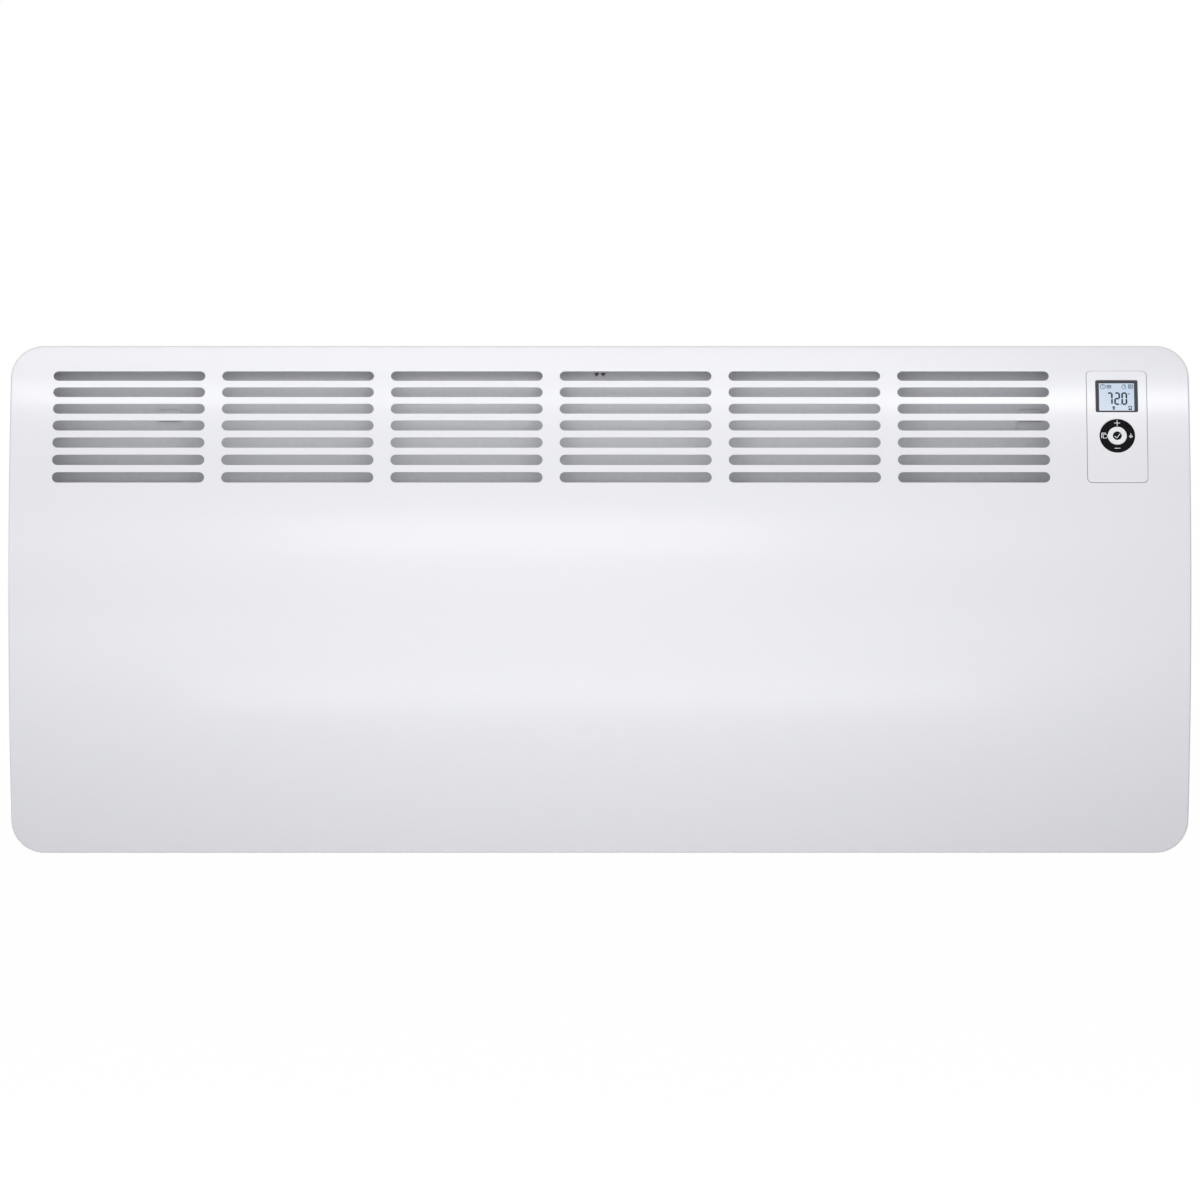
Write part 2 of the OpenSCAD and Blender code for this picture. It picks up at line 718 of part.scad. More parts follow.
module housing_shell() difference() {
    union() {
        difference() {
            intersection() {
                outline_prism(housing_inset, housing_corner_r, back_y);
                bow(housing_front_r);
            }
            outline_prism(housing_inset + housing_t, housing_corner_r - housing_t, back_in_y);
        }
        beads(0, back_in_y - bead_d, back_in_y + housing_t / 2);
    }
    beads(housing_t, back_y - bead_d, back_y + cut);
    for (side = [-1, 1], h = [hook_low_h, hook_top_h]) hook_opening(side * hook_x, h + bracket_t + seat);
    block([-nose_w / 2 - nose_open, nose_w / 2 + nose_open], [back_in_y - cut, back_y + cut],
        [latch_h - nose_gap, latch_h + nose_h + nose_open]);
    intake();
    rod_z(compartment_x, gland_y, [floor_h - cut, floor_h + cut], gland_thread_r + running);
    rod_z(sensor_x, sensor_y, [floor_h - cut, floor_h + cut], holder_r + running);
    block([wall_in_x - cut, housing_x + cut],
        [switch_y - switch_w / 2 - running, switch_y + switch_w / 2 + running],
        [switch_h - switch_l / 2 - running, switch_h + switch_l / 2 + running]);
    for (x = low_clip_xs) clip_hole(x, floor_h);
    for (x = top_clip_xs) clip_hole(x, roof_h);
}

module beads(inset, y0, y1) for (column = [-1, 0, 1], h = bead_rows)
    translate([duct_left_x + duct_w / 2 + column * duct_w / 3, y1, h]) rotate([90, 0, 0])
        linear_extrude(y1 - y0) stadium(bead_l - 2 * inset, bead_h - 2 * inset);

module hook_opening(x, top) block([x - hook_w / 2 - hook_open_side, x + hook_w / 2 + hook_open_side],
    [back_in_y - cut, back_y + cut], [top - hook_open_h, top]);

module intake() {
    columns = floor((duct_w - intake_pitch) / intake_pitch);
    for (column = [0 : columns - 1], row = [0 : intake_rows - 1])
        translate([duct_left_x + duct_w / 2 + (column - (columns - 1) / 2) * intake_pitch,
            back_in_y - intake_back_gap - row * intake_row_pitch, floor_h - cut])
            linear_extrude(2 * cut) stadium(intake_l, intake_w);
}

// Panel brackets lie on the housing's floor or under its roof, and their feet lie on the panel
function clip_front_y(h) = bow_at(h, bow_in_r - seat);
function clip_screw_y(h) = clip_front_y(h) + clip_arm - clip_screw_inset;

module clip_hole(x, face_h) rod_z(x, clip_screw_y(face_h), [face_h - cut, face_h + cut], screw_r + running);

module clip(x, arm_h, foot_h, face_h) difference() {
    union() {
        intersection() {
            block([x - clip_w / 2, x + clip_w / 2], [-overall_d, clip_front_y(face_h) + clip_arm], arm_h);
            bow(bow_in_r - seat);
        }
        intersection() {
            block([x - clip_w / 2, x + clip_w / 2], [-overall_d, 0], foot_h);
            bow_skin(bow_in_r - seat, bow_in_r - seat - clip_t);
        }
    }
    clip_hole(x, face_h);
}

module panel_brackets() color(bright_steel) hung() {
    for (x = low_clip_xs) clip(x, [floor_h, floor_h + clip_t], [floor_h, floor_h + clip_foot], floor_h);
    for (x = top_clip_xs) clip(x, [roof_h - clip_t, roof_h], [roof_h - clip_foot_top, roof_h], roof_h);
}

// The screws' heads lie on the housing's outer face, below its floor and above its roof
module panel_screws() color(bright_steel) hung() {
    low_h = floor_h - housing_t;
    top_h = roof_h + housing_t;
    for (x = low_clip_xs) {
        rod_z(x, clip_screw_y(floor_h), [low_h, floor_h + screw_reach], screw_r);
        rod_z(x, clip_screw_y(floor_h), [low_h - screw_head_h, low_h], screw_head_r);
    }
    for (x = top_clip_xs) {
        rod_z(x, clip_screw_y(roof_h), [roof_h - screw_reach, top_h], screw_r);
        rod_z(x, clip_screw_y(roof_h), [top_h, top_h + screw_head_h], screw_head_r);
    }
}

module bulkhead() color(zinc_sheet) hung() difference() {
    union() {
        intersection() {
            block([bulkhead_x, bulkhead_in_x], [-overall_d, back_in_y], [floor_h, roof_h]);
            bow(housing_front_r);
        }
        block([bulkhead_x - bulkhead_flange, bulkhead_in_x], [back_in_y - bulkhead_t, back_in_y],
            [floor_h, deflector_low_h]);
    }
    for (hole = [element_grommet, limiter_grommet])
        rod_x([bulkhead_x - cut, bulkhead_in_x + cut], hole[0], hole[1], grommet_r);
}

module grommet(y, z) difference() {
    union() {
        rod_x([bulkhead_x - grommet_flange, bulkhead_in_x + grommet_flange], y, z, grommet_r - seat);
        rod_x([bulkhead_x - grommet_flange, bulkhead_x], y, z, grommet_r + grommet_flange);
        rod_x([bulkhead_in_x, bulkhead_in_x + grommet_flange], y, z, grommet_r + grommet_flange);
    }
    rod_x([bulkhead_x - cut, bulkhead_in_x + cut], y, z, grommet_bore_r);
}

module bulkhead_grommets() color(black_plastic) hung()
    for (hole = [element_grommet, limiter_grommet]) grommet(hole[0], hole[1]);

module air_deflector() color(zinc_sheet) hung() difference() {
    bend_y = deflector_y - deflector_r;
    bend_h = roof_h - seat - deflector_r;
    along_x([duct_left_x + housing_corner_r, bulkhead_x]) {
        translate([bend_y, bend_h]) intersection() {
            difference() {
                circle(deflector_r);
                circle(deflector_r - deflector_t);
            }
            square([deflector_r, deflector_r]);
        }
        translate([deflector_y - deflector_t, deflector_low_h])
            square([deflector_t, bend_h - deflector_low_h + bite]);
        translate([bend_y - deflector_flange, roof_h - seat - deflector_t])
            square([deflector_flange + bite, deflector_t]);
    }
    for (side = [-1, 1]) translate([0, deflector_y + cut, 0]) rotate([90, 0, 0])
        linear_extrude(deflector_t + 2 * cut) polygon([
            [side * sight_space / 2, sight_top_h],
            [side * (sight_space / 2 + sight_w), sight_top_h],
            [side * (sight_space + sight_w) / 2, sight_top_h - sight_h]]);
}

module heat_shield() color(zinc_sheet) hung() intersection() {
    bow_skin(shield_r, shield_r - shield_t);
    block([duct_left_x, bulkhead_x], [-overall_d, 0], [shield_low_h, shield_top_h]);
}

module wall_buffers() color(black_plastic) hung() for (sx = [-1, 1])
    rod_y(sx * (housing_x - buffer_inset), [back_y, -seat], buffer_h, buffer_r);

// Heating elements

module fins() {
    circle(hub_r);
    for (a = [45 : 90 : 315]) rotate(a) {
        translate([0, -arm_t / 2]) square([arm_l, arm_t]);
        for (p = fin_places) translate([p * arm_l, -fin_w / 2]) square([fin_t, fin_w]);
    }
}

module element(x) color(aluminium) hung() difference() {
    along_x([x - element_l / 2, x + element_l / 2]) translate([element_y, element_h]) fins();
    rod_x([x - element_l / 2 - cut, x + element_l / 2 + cut], element_y, element_h, element_rod_r + seat);
}

module element_left() element(element_xs[0]);

module element_right() element(element_xs[1]);

rod_half = element_l / 2 + rod_reach;

module element_rods() color(bright_steel) hung()
    for (x = element_xs) rod_x([x - rod_half, x + rod_half], element_y, element_h, element_rod_r);

// A hanger's plate stands off the back wall, and its foot points to the element
module hanger(x, side) difference() {
    near = x + side * (element_l / 2 + hanger_space);
    far = near + side * hanger_t;
    foot = near - side * hanger_flange;
    heights = [element_h - hanger_h / 2, element_h + hanger_h / 2];
    union() {
        block([min(near, far), max(near, far)], [element_y - bush_flange_r - 1, back_in_y], heights);
        block([min(foot, far), max(foot, far)], [back_in_y - hanger_t, back_in_y], heights);
    }
    rod_x([near - cut, near + cut], element_y, element_h, bush_r + seat);
}

module element_hangers() color(zinc_sheet) hung() for (x = element_xs, side = [-1, 1]) hanger(x, side);

module element_bushes() color(ceramic) hung() for (x = element_xs, side = [-1, 1]) {
    near = x + side * (element_l / 2 + hanger_space);
    out = near + side * bush_l;
    flange = near - side * bush_flange_t;
    difference() {
        union() {
            rod_x([min(near, out), max(near, out)], element_y, element_h, bush_r);
            rod_x([min(near, flange), max(near, flange)], element_y, element_h, bush_flange_r);
        }
        rod_x([near - bush_flange_t - cut, near + bush_l + cut], element_y, element_h, element_rod_r + seat);
    }
}

limiter_back_y = back_in_y - limiter_stand;
limiter_front_y = limiter_back_y - limiter_t;

// A limiter's bracket stands off the back wall on two feet, one above the limiter and one below
module limiter_brackets() color(zinc_sheet) hung() for (x = element_xs) difference() {
    span = [x - limiter_strap_w / 2, x + limiter_strap_w / 2];
    low = limiter_h - limiter_strap_h / 2;
    high = limiter_h + limiter_strap_h / 2;
    union() {
        block(span, [limiter_back_y, limiter_back_y + hanger_t], [low, high]);
        for (h = [low, high - hanger_t]) block(span, [limiter_back_y, back_in_y], [h, h + hanger_t]);
        block(span, [back_in_y - hanger_t, back_in_y], [low - limiter_foot, low + hanger_t]);
        block(span, [back_in_y - hanger_t, back_in_y], [high - hanger_t, high + limiter_foot]);
    }
    rod_y(x, [limiter_back_y - cut, back_in_y + cut], limiter_h, limiter_hole_r);
}

module thermal_limiters() color(bright_steel) hung() for (x = element_xs) {
    tab_y = limiter_front_y + limiter_tab_y;
    rod_y(x, [limiter_front_y, limiter_back_y], limiter_h, limiter_r);
    block([x - limiter_tab_w / 2, x + limiter_tab_w / 2], [tab_y, tab_y + limiter_tab_t],
        [limiter_h + limiter_r - bite, limiter_h + limiter_r + limiter_tab_h]);
}

// Control unit

module control_bezel() color(white_plastic) hung() difference() {
    intersection() {
        bow_skin(bow_r + bezel_proud, bezel_in_r);
        bezel_outline(0, bezel_corner_r);
    }
    at_bow(display_arc, bezel_x) plate(display_w + 2 * frame_gap, display_h + 2 * frame_gap,
        frame_corner_r + frame_gap, [-cut, cut]);
    at_bow(key_arc, bezel_x) disc(key_ring_r + key_hole_gap, [-cut, cut]);
}

module display_frame() color(dark_frame) hung() at_bow(display_arc, bezel_x) difference() {
    plate(display_w, display_h, frame_corner_r, [frame_back, frame_front]);
    translate([0, -lit_drop, 0]) plate(lit_w, lit_h, lit_corner_r, [frame_back - cut, frame_front + cut]);
}

module display_glass() color(glass_tint) hung() at_bow(display_arc, bezel_x) translate([0, -lit_drop, 0])
    plate(lit_w - 2 * seat, lit_h - 2 * seat, lit_corner_r - seat, [frame_back, frame_back + glass_t]);

module behind_frame(z) at_bow(display_arc, bezel_x)
    plate(display_w - 2 * lcd_margin, display_h - 2 * lcd_margin, lit_corner_r - running, z);

module display_panel() color(lcd_blue) hung() behind_frame([frame_back - lcd_t, frame_back]);

// The guide ends on the board, which lies square to the bow at the keys
module backlight_guide() color(white_plastic) hung() difference() {
    behind_frame([2 * board_front, frame_back - lcd_t]);
    at_bow(key_arc, bezel_x) translate([-bezel_w, -bezel_l, 3 * board_front])
        cube([2 * bezel_w, 2 * bezel_l, -2 * board_front]);
}

module post_places() for (sx = [-1, 1], y = [board_low + post_inset[1], board_high - post_inset[2]])
    translate([sx * (board_w / 2 - post_inset[0]), y, 0]) children();

module control_box() color(grey_plastic) hung() {
    difference() {
        union() {
            intersection() {
                at_bow(key_arc, bezel_x) translate([0, box_shift, 0])
                    plate(box_w, box_l, 2 * box_wall, [box_back, cut]);
                bow(bezel_in_r - seat);
            }
            difference() {
                intersection() {
                    bow_skin(bow_in_r - seat, bow_in_r - seat - box_rim_t);
                    bezel_outline(box_rim, bezel_corner_r + box_rim);
                }
                difference() {
                    bezel_outline(bezel_gap, bezel_corner_r + bezel_gap);
                    bow(bezel_in_r - seat, cut);
                }
            }
        }
        at_bow(key_arc, bezel_x) translate([0, box_shift, 0])
            plate(box_w - 2 * box_wall, box_l - 2 * box_wall, box_wall, [box_back + box_wall, 2 * cut]);
        at_bow(key_arc, bezel_x) translate([0, ribbon_up, 0])
            plate(ribbon_w + 4, ribbon_window, 1, [box_back - cut, box_back + box_wall + cut]);
    }
    at_bow(key_arc, bezel_x) post_places() {
        disc(post_r, [box_back + box_wall / 2, board_back]);
        disc(peg_r, [board_back - bite, board_front + peg_head]);
        disc(peg_r + peg_head, [board_front, board_front + peg_head]);
    }
}

module display_board() color(board_green) hung() at_bow(key_arc, bezel_x) difference() {
    translate([-board_w / 2, board_low, board_back]) cube([board_w, board_high - board_low, board_t]);
    post_places() disc(peg_r + running, [board_back - cut, board_front + cut]);
}

switch_places = [[0, 0], [stem_ring_r, 0], [-stem_ring_r, 0], [0, stem_ring_r], [0, -stem_ring_r]];

module key_switches() color(black_plastic) hung() at_bow(key_arc, bezel_x)
    for (p = switch_places) translate(p) difference() {
        translate([-tact_w / 2, -tact_w / 2, board_front])
            cube([tact_w, tact_w, switch_front - board_front]);
        disc(stem_r + running, [stem_end - key_travel - flange_space, switch_front + cut]);
    }

// A quarter of the key ring, turned so that its middle points along an angle
module ring_key(angle) color(black_plastic) hung() at_bow(key_arc, bezel_x) rotate(angle) {
    quarter(key_ring_r, [ring_flange_z, key_front]);
    quarter(key_flange_r, [ring_flange_z - flange_t, ring_flange_z]);
    translate([stem_ring_r, 0]) disc(stem_r, [stem_end, ring_flange_z - flange_t / 2]);
}

module quarter(r, z) translate([0, 0, z[0]]) linear_extrude(z[1] - z[0]) intersection() {
    difference() {
        circle(r, $fn = 120);
        circle(ring_in_r, $fn = 120);
    }
    tip = key_gap / sqrt(2);
    polygon([[tip, 0], [tip + 2 * r, -2 * r], [tip + 2 * r, 2 * r]]);
}

module key_plus() ring_key(90);

module key_minus() ring_key(-90);

module key_menu() ring_key(180);

module key_heat() ring_key(0);

module key_ok() color(white_plastic) hung() at_bow(key_arc, bezel_x) {
    difference() {
        disc(ok_r, [ok_flange_z, key_front]);
        disc(inlay_r + seat / 2, [key_front - inlay_t, key_front + cut]);
    }
    disc(ok_flange_r, [ok_flange_z - flange_t, ok_flange_z]);
    disc(stem_r, [stem_end, ok_flange_z - flange_t / 2]);
}

module key_ok_inlay() color(black_plastic) hung() at_bow(key_arc, bezel_x)
    disc(inlay_r, [key_front - inlay_t, key_front]);

// Electronics

spacer_places = [for (sx = [-1, 1], h = [spacer_low, power_board_l - spacer_inset])
    [compartment_x + sx * (power_board_w / 2 - spacer_inset), power_board_h + h]];

module power_board() color(board_green) hung() difference() {
    block([compartment_x - power_board_w / 2, compartment_x + power_board_w / 2], [parts_y, power_board_y],
        [power_board_h, power_board_h + power_board_l]);
    for (p = spacer_places) rod_y(p[0], [parts_y - cut, power_board_y + cut], p[1], screw_r + running);
}

module board_spacers() color(bright_steel) hung() for (p = spacer_places) {
    rod_y(p[0], [power_board_y, back_in_y], p[1], spacer_r);
    rod_y(p[0], [parts_y - bite, power_board_y + bite], p[1], screw_r);
    rod_y(p[0], [parts_y - screw_r, parts_y], p[1], spacer_r);
}

// A box on the power board: its middle along X, its height above the board's lower edge, its size
module on_board(x, h, size, lift = 0) translate([compartment_x + x, parts_y - lift, power_board_h + h])
    block([-size[0] / 2, size[0] / 2], [-size[1], 0], [0, size[2]]);

module relays() color(can_blue) hung() for (x = [-12, 12]) on_board(x, 24, [20, 16, 16]);

// The transformer's foot, its core and the winding that shows in front of the core
module transformer() color(copper_tape) hung() {
    on_board(8, 79, [32, 5, 26]);
    on_board(8, 76, [40, 18, 32], 4);
    on_board(8, 81, [26, 7, 22], 20);
}

module capacitors() color(can_blue) hung() {
    rod_y(compartment_x - 20, [parts_y - 20, parts_y], power_board_h + 64, 8);
    rod_y(compartment_x + 4, [parts_y - 16, parts_y], power_board_h + 62, 5);
    on_board(23, 55, [18, 12, 7]);
}

module board_connectors() color(white_plastic) hung() {
    half = way_pitch / 2;
    ways = way_x + (way_count - 1) * way_pitch;
    block([way_x - half, ways + half], [parts_y - connector_d, parts_y],
        [power_board_h, power_board_h + connector_h]);
    block([header_x, header_x + header_w], [parts_y - connector_d, parts_y],
        [side_header_h - header_l / 2, side_header_h + header_l / 2]);
    on_board(0, ribbon_header_h - power_board_h, ribbon_header);
}

pole_places = [for (i = [-1, 0, 1], sz = [-1, 1]) [terminal_x + i * pole_pitch, terminal_h + sz * pole_row]];

module terminal_block() color(ceramic) hung() difference() {
    block([terminal_x - terminal_w / 2, terminal_x + terminal_w / 2], [back_in_y - terminal_d, back_in_y],
        [terminal_h - terminal_l / 2, terminal_h + terminal_l / 2]);
    front_y = back_in_y - terminal_d;
    for (p = pole_places) rod_y(p[0], [front_y - cut, front_y + pole_depth], p[1], pole_screw_r + seat);
}

module terminal_screws() color(bright_steel) hung() for (p = pole_places) difference() {
    head_y = back_in_y - terminal_d + pole_screw_sunk;
    rod_y(p[0], [head_y, head_y + pole_screw_l], p[1], pole_screw_r);
    block([p[0] - 2 * pole_screw_r, p[0] + 2 * pole_screw_r], [head_y - cut, head_y + pole_slot],
        [p[1] - pole_slot / 2, p[1] + pole_slot / 2]);
}

module earth_stud() color(bright_steel) hung() {
    rod_y(earth_x, [back_in_y - earth_l, back_in_y], earth_h, earth_r);
    rod_y(earth_x, [back_in_y - 2 * bite, back_in_y], earth_h, earth_flange_r);
    translate([earth_x, back_in_y - bite, earth_h]) rotate([90, 30, 0])
        cylinder(r = earth_nut_r, h = earth_nut_h + 2 * bite, $fn = 6);
}

// Cable entry

module gland_body() color(black_plastic) hung() translate([compartment_x, gland_y, 0]) difference() {
    union() {
        translate([0, 0, gland_low_h])
            cylinder(r = gland_hex_r, h = housing_inset - gland_washer_t - gland_low_h, $fn = 6);
        disc(gland_thread_r, [housing_inset - gland_washer_t - bite, gland_top_h]);
    }
    disc(cable_r, [gland_low_h - cut, gland_top_h + cut]);
}

module gland_seal() color(dark_frame) hung() translate([compartment_x, gland_y, 0]) difference() {
    disc(gland_hex_r - 1, [housing_inset - gland_washer_t, housing_inset]);
    disc(gland_thread_r + seat, [housing_inset - cut, housing_inset + cut]);
}

module gland_nut() color(black_plastic) hung() translate([compartment_x, gland_y, floor_h]) difference() {
    cylinder(r = gland_nut_r, h = gland_nut_h, $fn = 6);
    disc(gland_thread_r + seat, [-cut, 2 * cut]);
}

module cable_clamp() color(white_plastic) hung() difference() {
    front_y = gland_y - cable_r - clamp_wall;
    block([compartment_x - clamp_w / 2, compartment_x + clamp_w / 2], [front_y, back_in_y],
        [clamp_h, clamp_h + clamp_l]);
    rod_z(compartment_x, gland_y, [clamp_h - cut, clamp_h + clamp_l + cut], cable_r + clamp_slack);
    for (sx = [-1, 1])
        rod_y(compartment_x + sx * clamp_screw_x, [front_y - cut, gland_y],
            clamp_h + clamp_l / 2, clamp_screw_r);
}

// Power switch, on the end wall that faces away from the duct

module switch_housing() color(black_plastic) hung() difference() {
    back_x = housing_x - switch_depth;
    translate([0, switch_y, switch_h]) rotate([0, 90, 0]) {
        plate(switch_l + 2 * switch_frame, switch_w + 2 * switch_frame, switch_frame,
            [housing_x, housing_x + switch_frame]);
        plate(switch_l, switch_w, switch_frame, [back_x, housing_x + bite]);
        for (s = [-1, 1]) translate([s * blade_space, 0, 0])
            plate(blade_t, blade_w, blade_t / 8, [back_x - blade_l, back_x + bite]);
    }
    translate([pivot_x, switch_y, switch_h]) {
        well = rocker_w / 2 + rocker_gap;
        rod_y(0, [-well, well], 0, rocker_r + rocker_gap);
        rod_y(0, [-well - rocker_pin_l, well + rocker_pin_l], 0, rocker_pin_r + running);
    }
}

// At rest the rocker's lower end is pressed in
module power_rocker() color(dark_frame) hung()
    translate([pivot_x, switch_y, switch_h]) rotate([0, rocker_tilt, 0]) {
    rise = rocker_mid + rocker_r * tan(rocker_tilt);
    translate([0, rocker_w / 2, 0]) rotate([90, 0, 0]) linear_extrude(rocker_w) intersection() {
        circle(rocker_r);
        polygon([
            [-rocker_back, -rocker_r],
            [rise, -rocker_r],
            [rocker_mid, 0],
            [rise, rocker_r],
            [-rocker_back, rocker_r]]);
    }
    rod_y(0, [-rocker_w / 2 - rocker_pin_l, rocker_w / 2 + rocker_pin_l], 0, rocker_pin_r);
}

// The holder snaps into the floor between its two flanges, and the sensor's head lies on it
module sensor_holder() color(white_plastic) hung() translate([sensor_x, sensor_y, 0]) difference() {
    union() {
        disc(holder_r, [housing_inset - bite, floor_h + sensor_head]);
        disc(holder_r + holder_flange, [housing_inset - holder_flange, housing_inset]);
        disc(holder_r + bite, [floor_h, floor_h + holder_flange]);
    }
    disc(sensor_r + seat, [0, floor_h + cut]);
}

module room_sensor() color(black_plastic) hung() translate([sensor_x, sensor_y, 0]) {
    disc(sensor_r, [sensor_low_h, floor_h + 2 * sensor_head]);
    disc(sensor_r + holder_flange - seat, [floor_h + sensor_head, floor_h + 2 * sensor_head]);
}

// Leads, through points set by hand. Their ends stand just clear of what they join

function way(i) = way_x + i * way_pitch;
function way_end(i) = [
    [way(i), way_y, power_board_h - lead_run],
    [way(i), way_y, power_board_h - lead_gap]];

module element_leads() color(lead_grey) hung() {
    left_end = element_xs[0] - rod_half - lead_gap;
    right_end = element_xs[1] + rod_half + lead_gap;
    link_from = element_xs[0] + rod_half + lead_gap;
    link_to = element_xs[1] - rod_half - lead_gap;
    y = element_y;
    h = element_h;
    tube(smooth(concat([
        [left_end, y, h], [left_end - 6, y, h],
        [left_end - 14, y + 3, h - 8], [left_end - 16, y + 10, h - 28],
        [left_end - 10, -35, 36], [left_end + 10, -33, 30], [left_end + 40, -33, 30],
        [bulkhead_x - 60, -33, 30], [bulkhead_x - 34, -34, 32], [bulkhead_x - 18, -40, 46],
        [bulkhead_x - 6, -47, 59], [bulkhead_x, -48, 60],
        [bulkhead_x + 8, -48, 61], [bulkhead_x + 14, -50, 74],
        [way(0), -54, 100], [way(0), -51, 120]], way_end(0)), 3), lead_r);
    tube(smooth(concat([
        [right_end, y, h], [right_end + 6, y, h], [right_end + 13, y, h - 7], [bulkhead_x - 5, -52, 60],
        [bulkhead_x + 2, -52, 60], [bulkhead_x + 9, -54, 62], [bulkhead_x + 17, -60, 80],
        [way(1), -60, 102], [way(1), -54, 120]], way_end(1)), 3), lead_r);
    tube(smooth([[link_from, y, h], [link_from + 8, y, h], [(link_from + link_to) / 2, y, h - 6],
        [link_to - 8, y, h], [link_to, y, h]], 3), lead_r);
}

module limiter_leads() color(lead_grey) hung() {
    y = limiter_front_y + 3;
    start_h = limiter_h + limiter_r + limiter_tab_h + lead_gap;
    end_x = header_x - lead_gap;
    for (i = [0, 1]) {
        x = element_xs[i];
        h = side_header_h + limiter_lead_step * (1 / 2 - i);
        tube(smooth([
            [x, y, start_h], [x, y, start_h + lead_run], [x + 4, y + 1, h - 12], [x + 14, -34, h - 2],
            [x + 32, -33, h], [bulkhead_x - 40, -33, h], [bulkhead_x - 16, -38, h], [bulkhead_x, -45, h],
            [end_x - 6, -46, h], [end_x, -46, h]], 3), thin_lead_r);
    }
}

module supply_leads() color(lead_black) hung() {
    top = terminal_h + terminal_l / 2 + lead_gap;
    blade_x = housing_x - switch_depth - blade_l - lead_gap;
    low = switch_h - blade_space;
    high = switch_h + blade_space;
    line_x = terminal_x + pole_pitch;
    earth_end = earth_h - earth_flange_r - lead_gap;
    sensor_top = floor_h + 2 * sensor_head + lead_gap;
    tube(smooth([[line_x, -34, top], [line_x, -34, top + lead_run], [line_x + 9, -44, 112],
        [blade_x - lead_run, switch_y, high], [blade_x, switch_y, high]], 4), lead_r);
    tube(smooth(concat([[blade_x, switch_y, low], [blade_x - lead_run, switch_y, low],
        [way(3) + 8, -66, 110], [way(3) + 2, -62, 122]], way_end(3)), 4), lead_r);
    tube(smooth(concat([
        [terminal_x, -34, top], [terminal_x, -34, top + lead_run], [terminal_x + 2, -42, 114]],
        way_end(2)), 4), lead_r);
    tube(smooth([[terminal_x - pole_pitch, -34, top], [terminal_x - pole_pitch, -34, top + lead_run / 2],
        [earth_x, -31, earth_end - lead_run], [earth_x, -31, earth_end]], 4), lead_r);
    tube(smooth(concat([[sensor_x, sensor_y, sensor_top], [sensor_x, sensor_y, sensor_top + lead_run],
        [sensor_x - 5, -36, 50], [sensor_x - 12, -32, 80], [way(5) + 6, -32, 106], [way(5) + 1, -38, 122]],
        way_end(5)), 4), thin_lead_r);
}

module ribbon_cable() color(grey_plastic) hung() {
    header_y = parts_y - ribbon_header[1] / 2;
    header_top = ribbon_header_h + ribbon_header[2] + seat;
    path = [
        on_bow(key_arc, ribbon_up, board_back - seat), on_bow(key_arc, ribbon_up, board_back - 10),
        [-78, 352], [-60, 326], [header_y, header_top + 14], [header_y, header_top]];
    along_x([bezel_x - ribbon_w / 2, bezel_x + ribbon_w / 2]) polygon(band(smooth(path, 5), ribbon_t));
}

bracket_leg_left();
bracket_leg_right();
bracket_rail();
latch_arm();
bracket_rivets();
latch_guide();
latch_spring();
latch_slide();
front_panel();
rear_housing();
end_plates();
panel_brackets();
panel_screws();
bulkhead();
bulkhead_grommets();
air_deflector();
heat_shield();
wall_buffers();
element_left();
element_right();
element_rods();
element_hangers();
element_bushes();
thermal_limiters();
limiter_brackets();
control_bezel();
display_frame();
display_glass();
display_panel();
backlight_guide();
control_box();
display_board();
key_switches();
key_plus();
key_minus();
key_menu();
key_heat();
key_ok();
key_ok_inlay();
power_board();
board_spacers();
relays();
transformer();
capacitors();
board_connectors();
terminal_block();
terminal_screws();
earth_stud();
gland_body();
gland_nut();
gland_seal();
cable_clamp();
switch_housing();
power_rocker();
room_sensor();
sensor_holder();
element_leads();
limiter_leads();
supply_leads();
ribbon_cable();
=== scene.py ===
# %% [markdown]
# # Wall convector heater
# This lesson dresses a wall heater: a bowed white sheet front with rows of outlet slots, a control
# unit with a lit display and a ring of keys, a galvanised housing behind it and the bracket that it
# hangs on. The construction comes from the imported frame, which holds every piece at its real size.
# What shows from close by is modelled here again with finer shapes, and the rest gets its finish.
# Lengths are in metres, +X runs to the control unit's end, +Y points into the wall and +Z is up.

# %% Load the frame
import json
import math

import bmesh
import bpy
from mathutils import Matrix, Vector


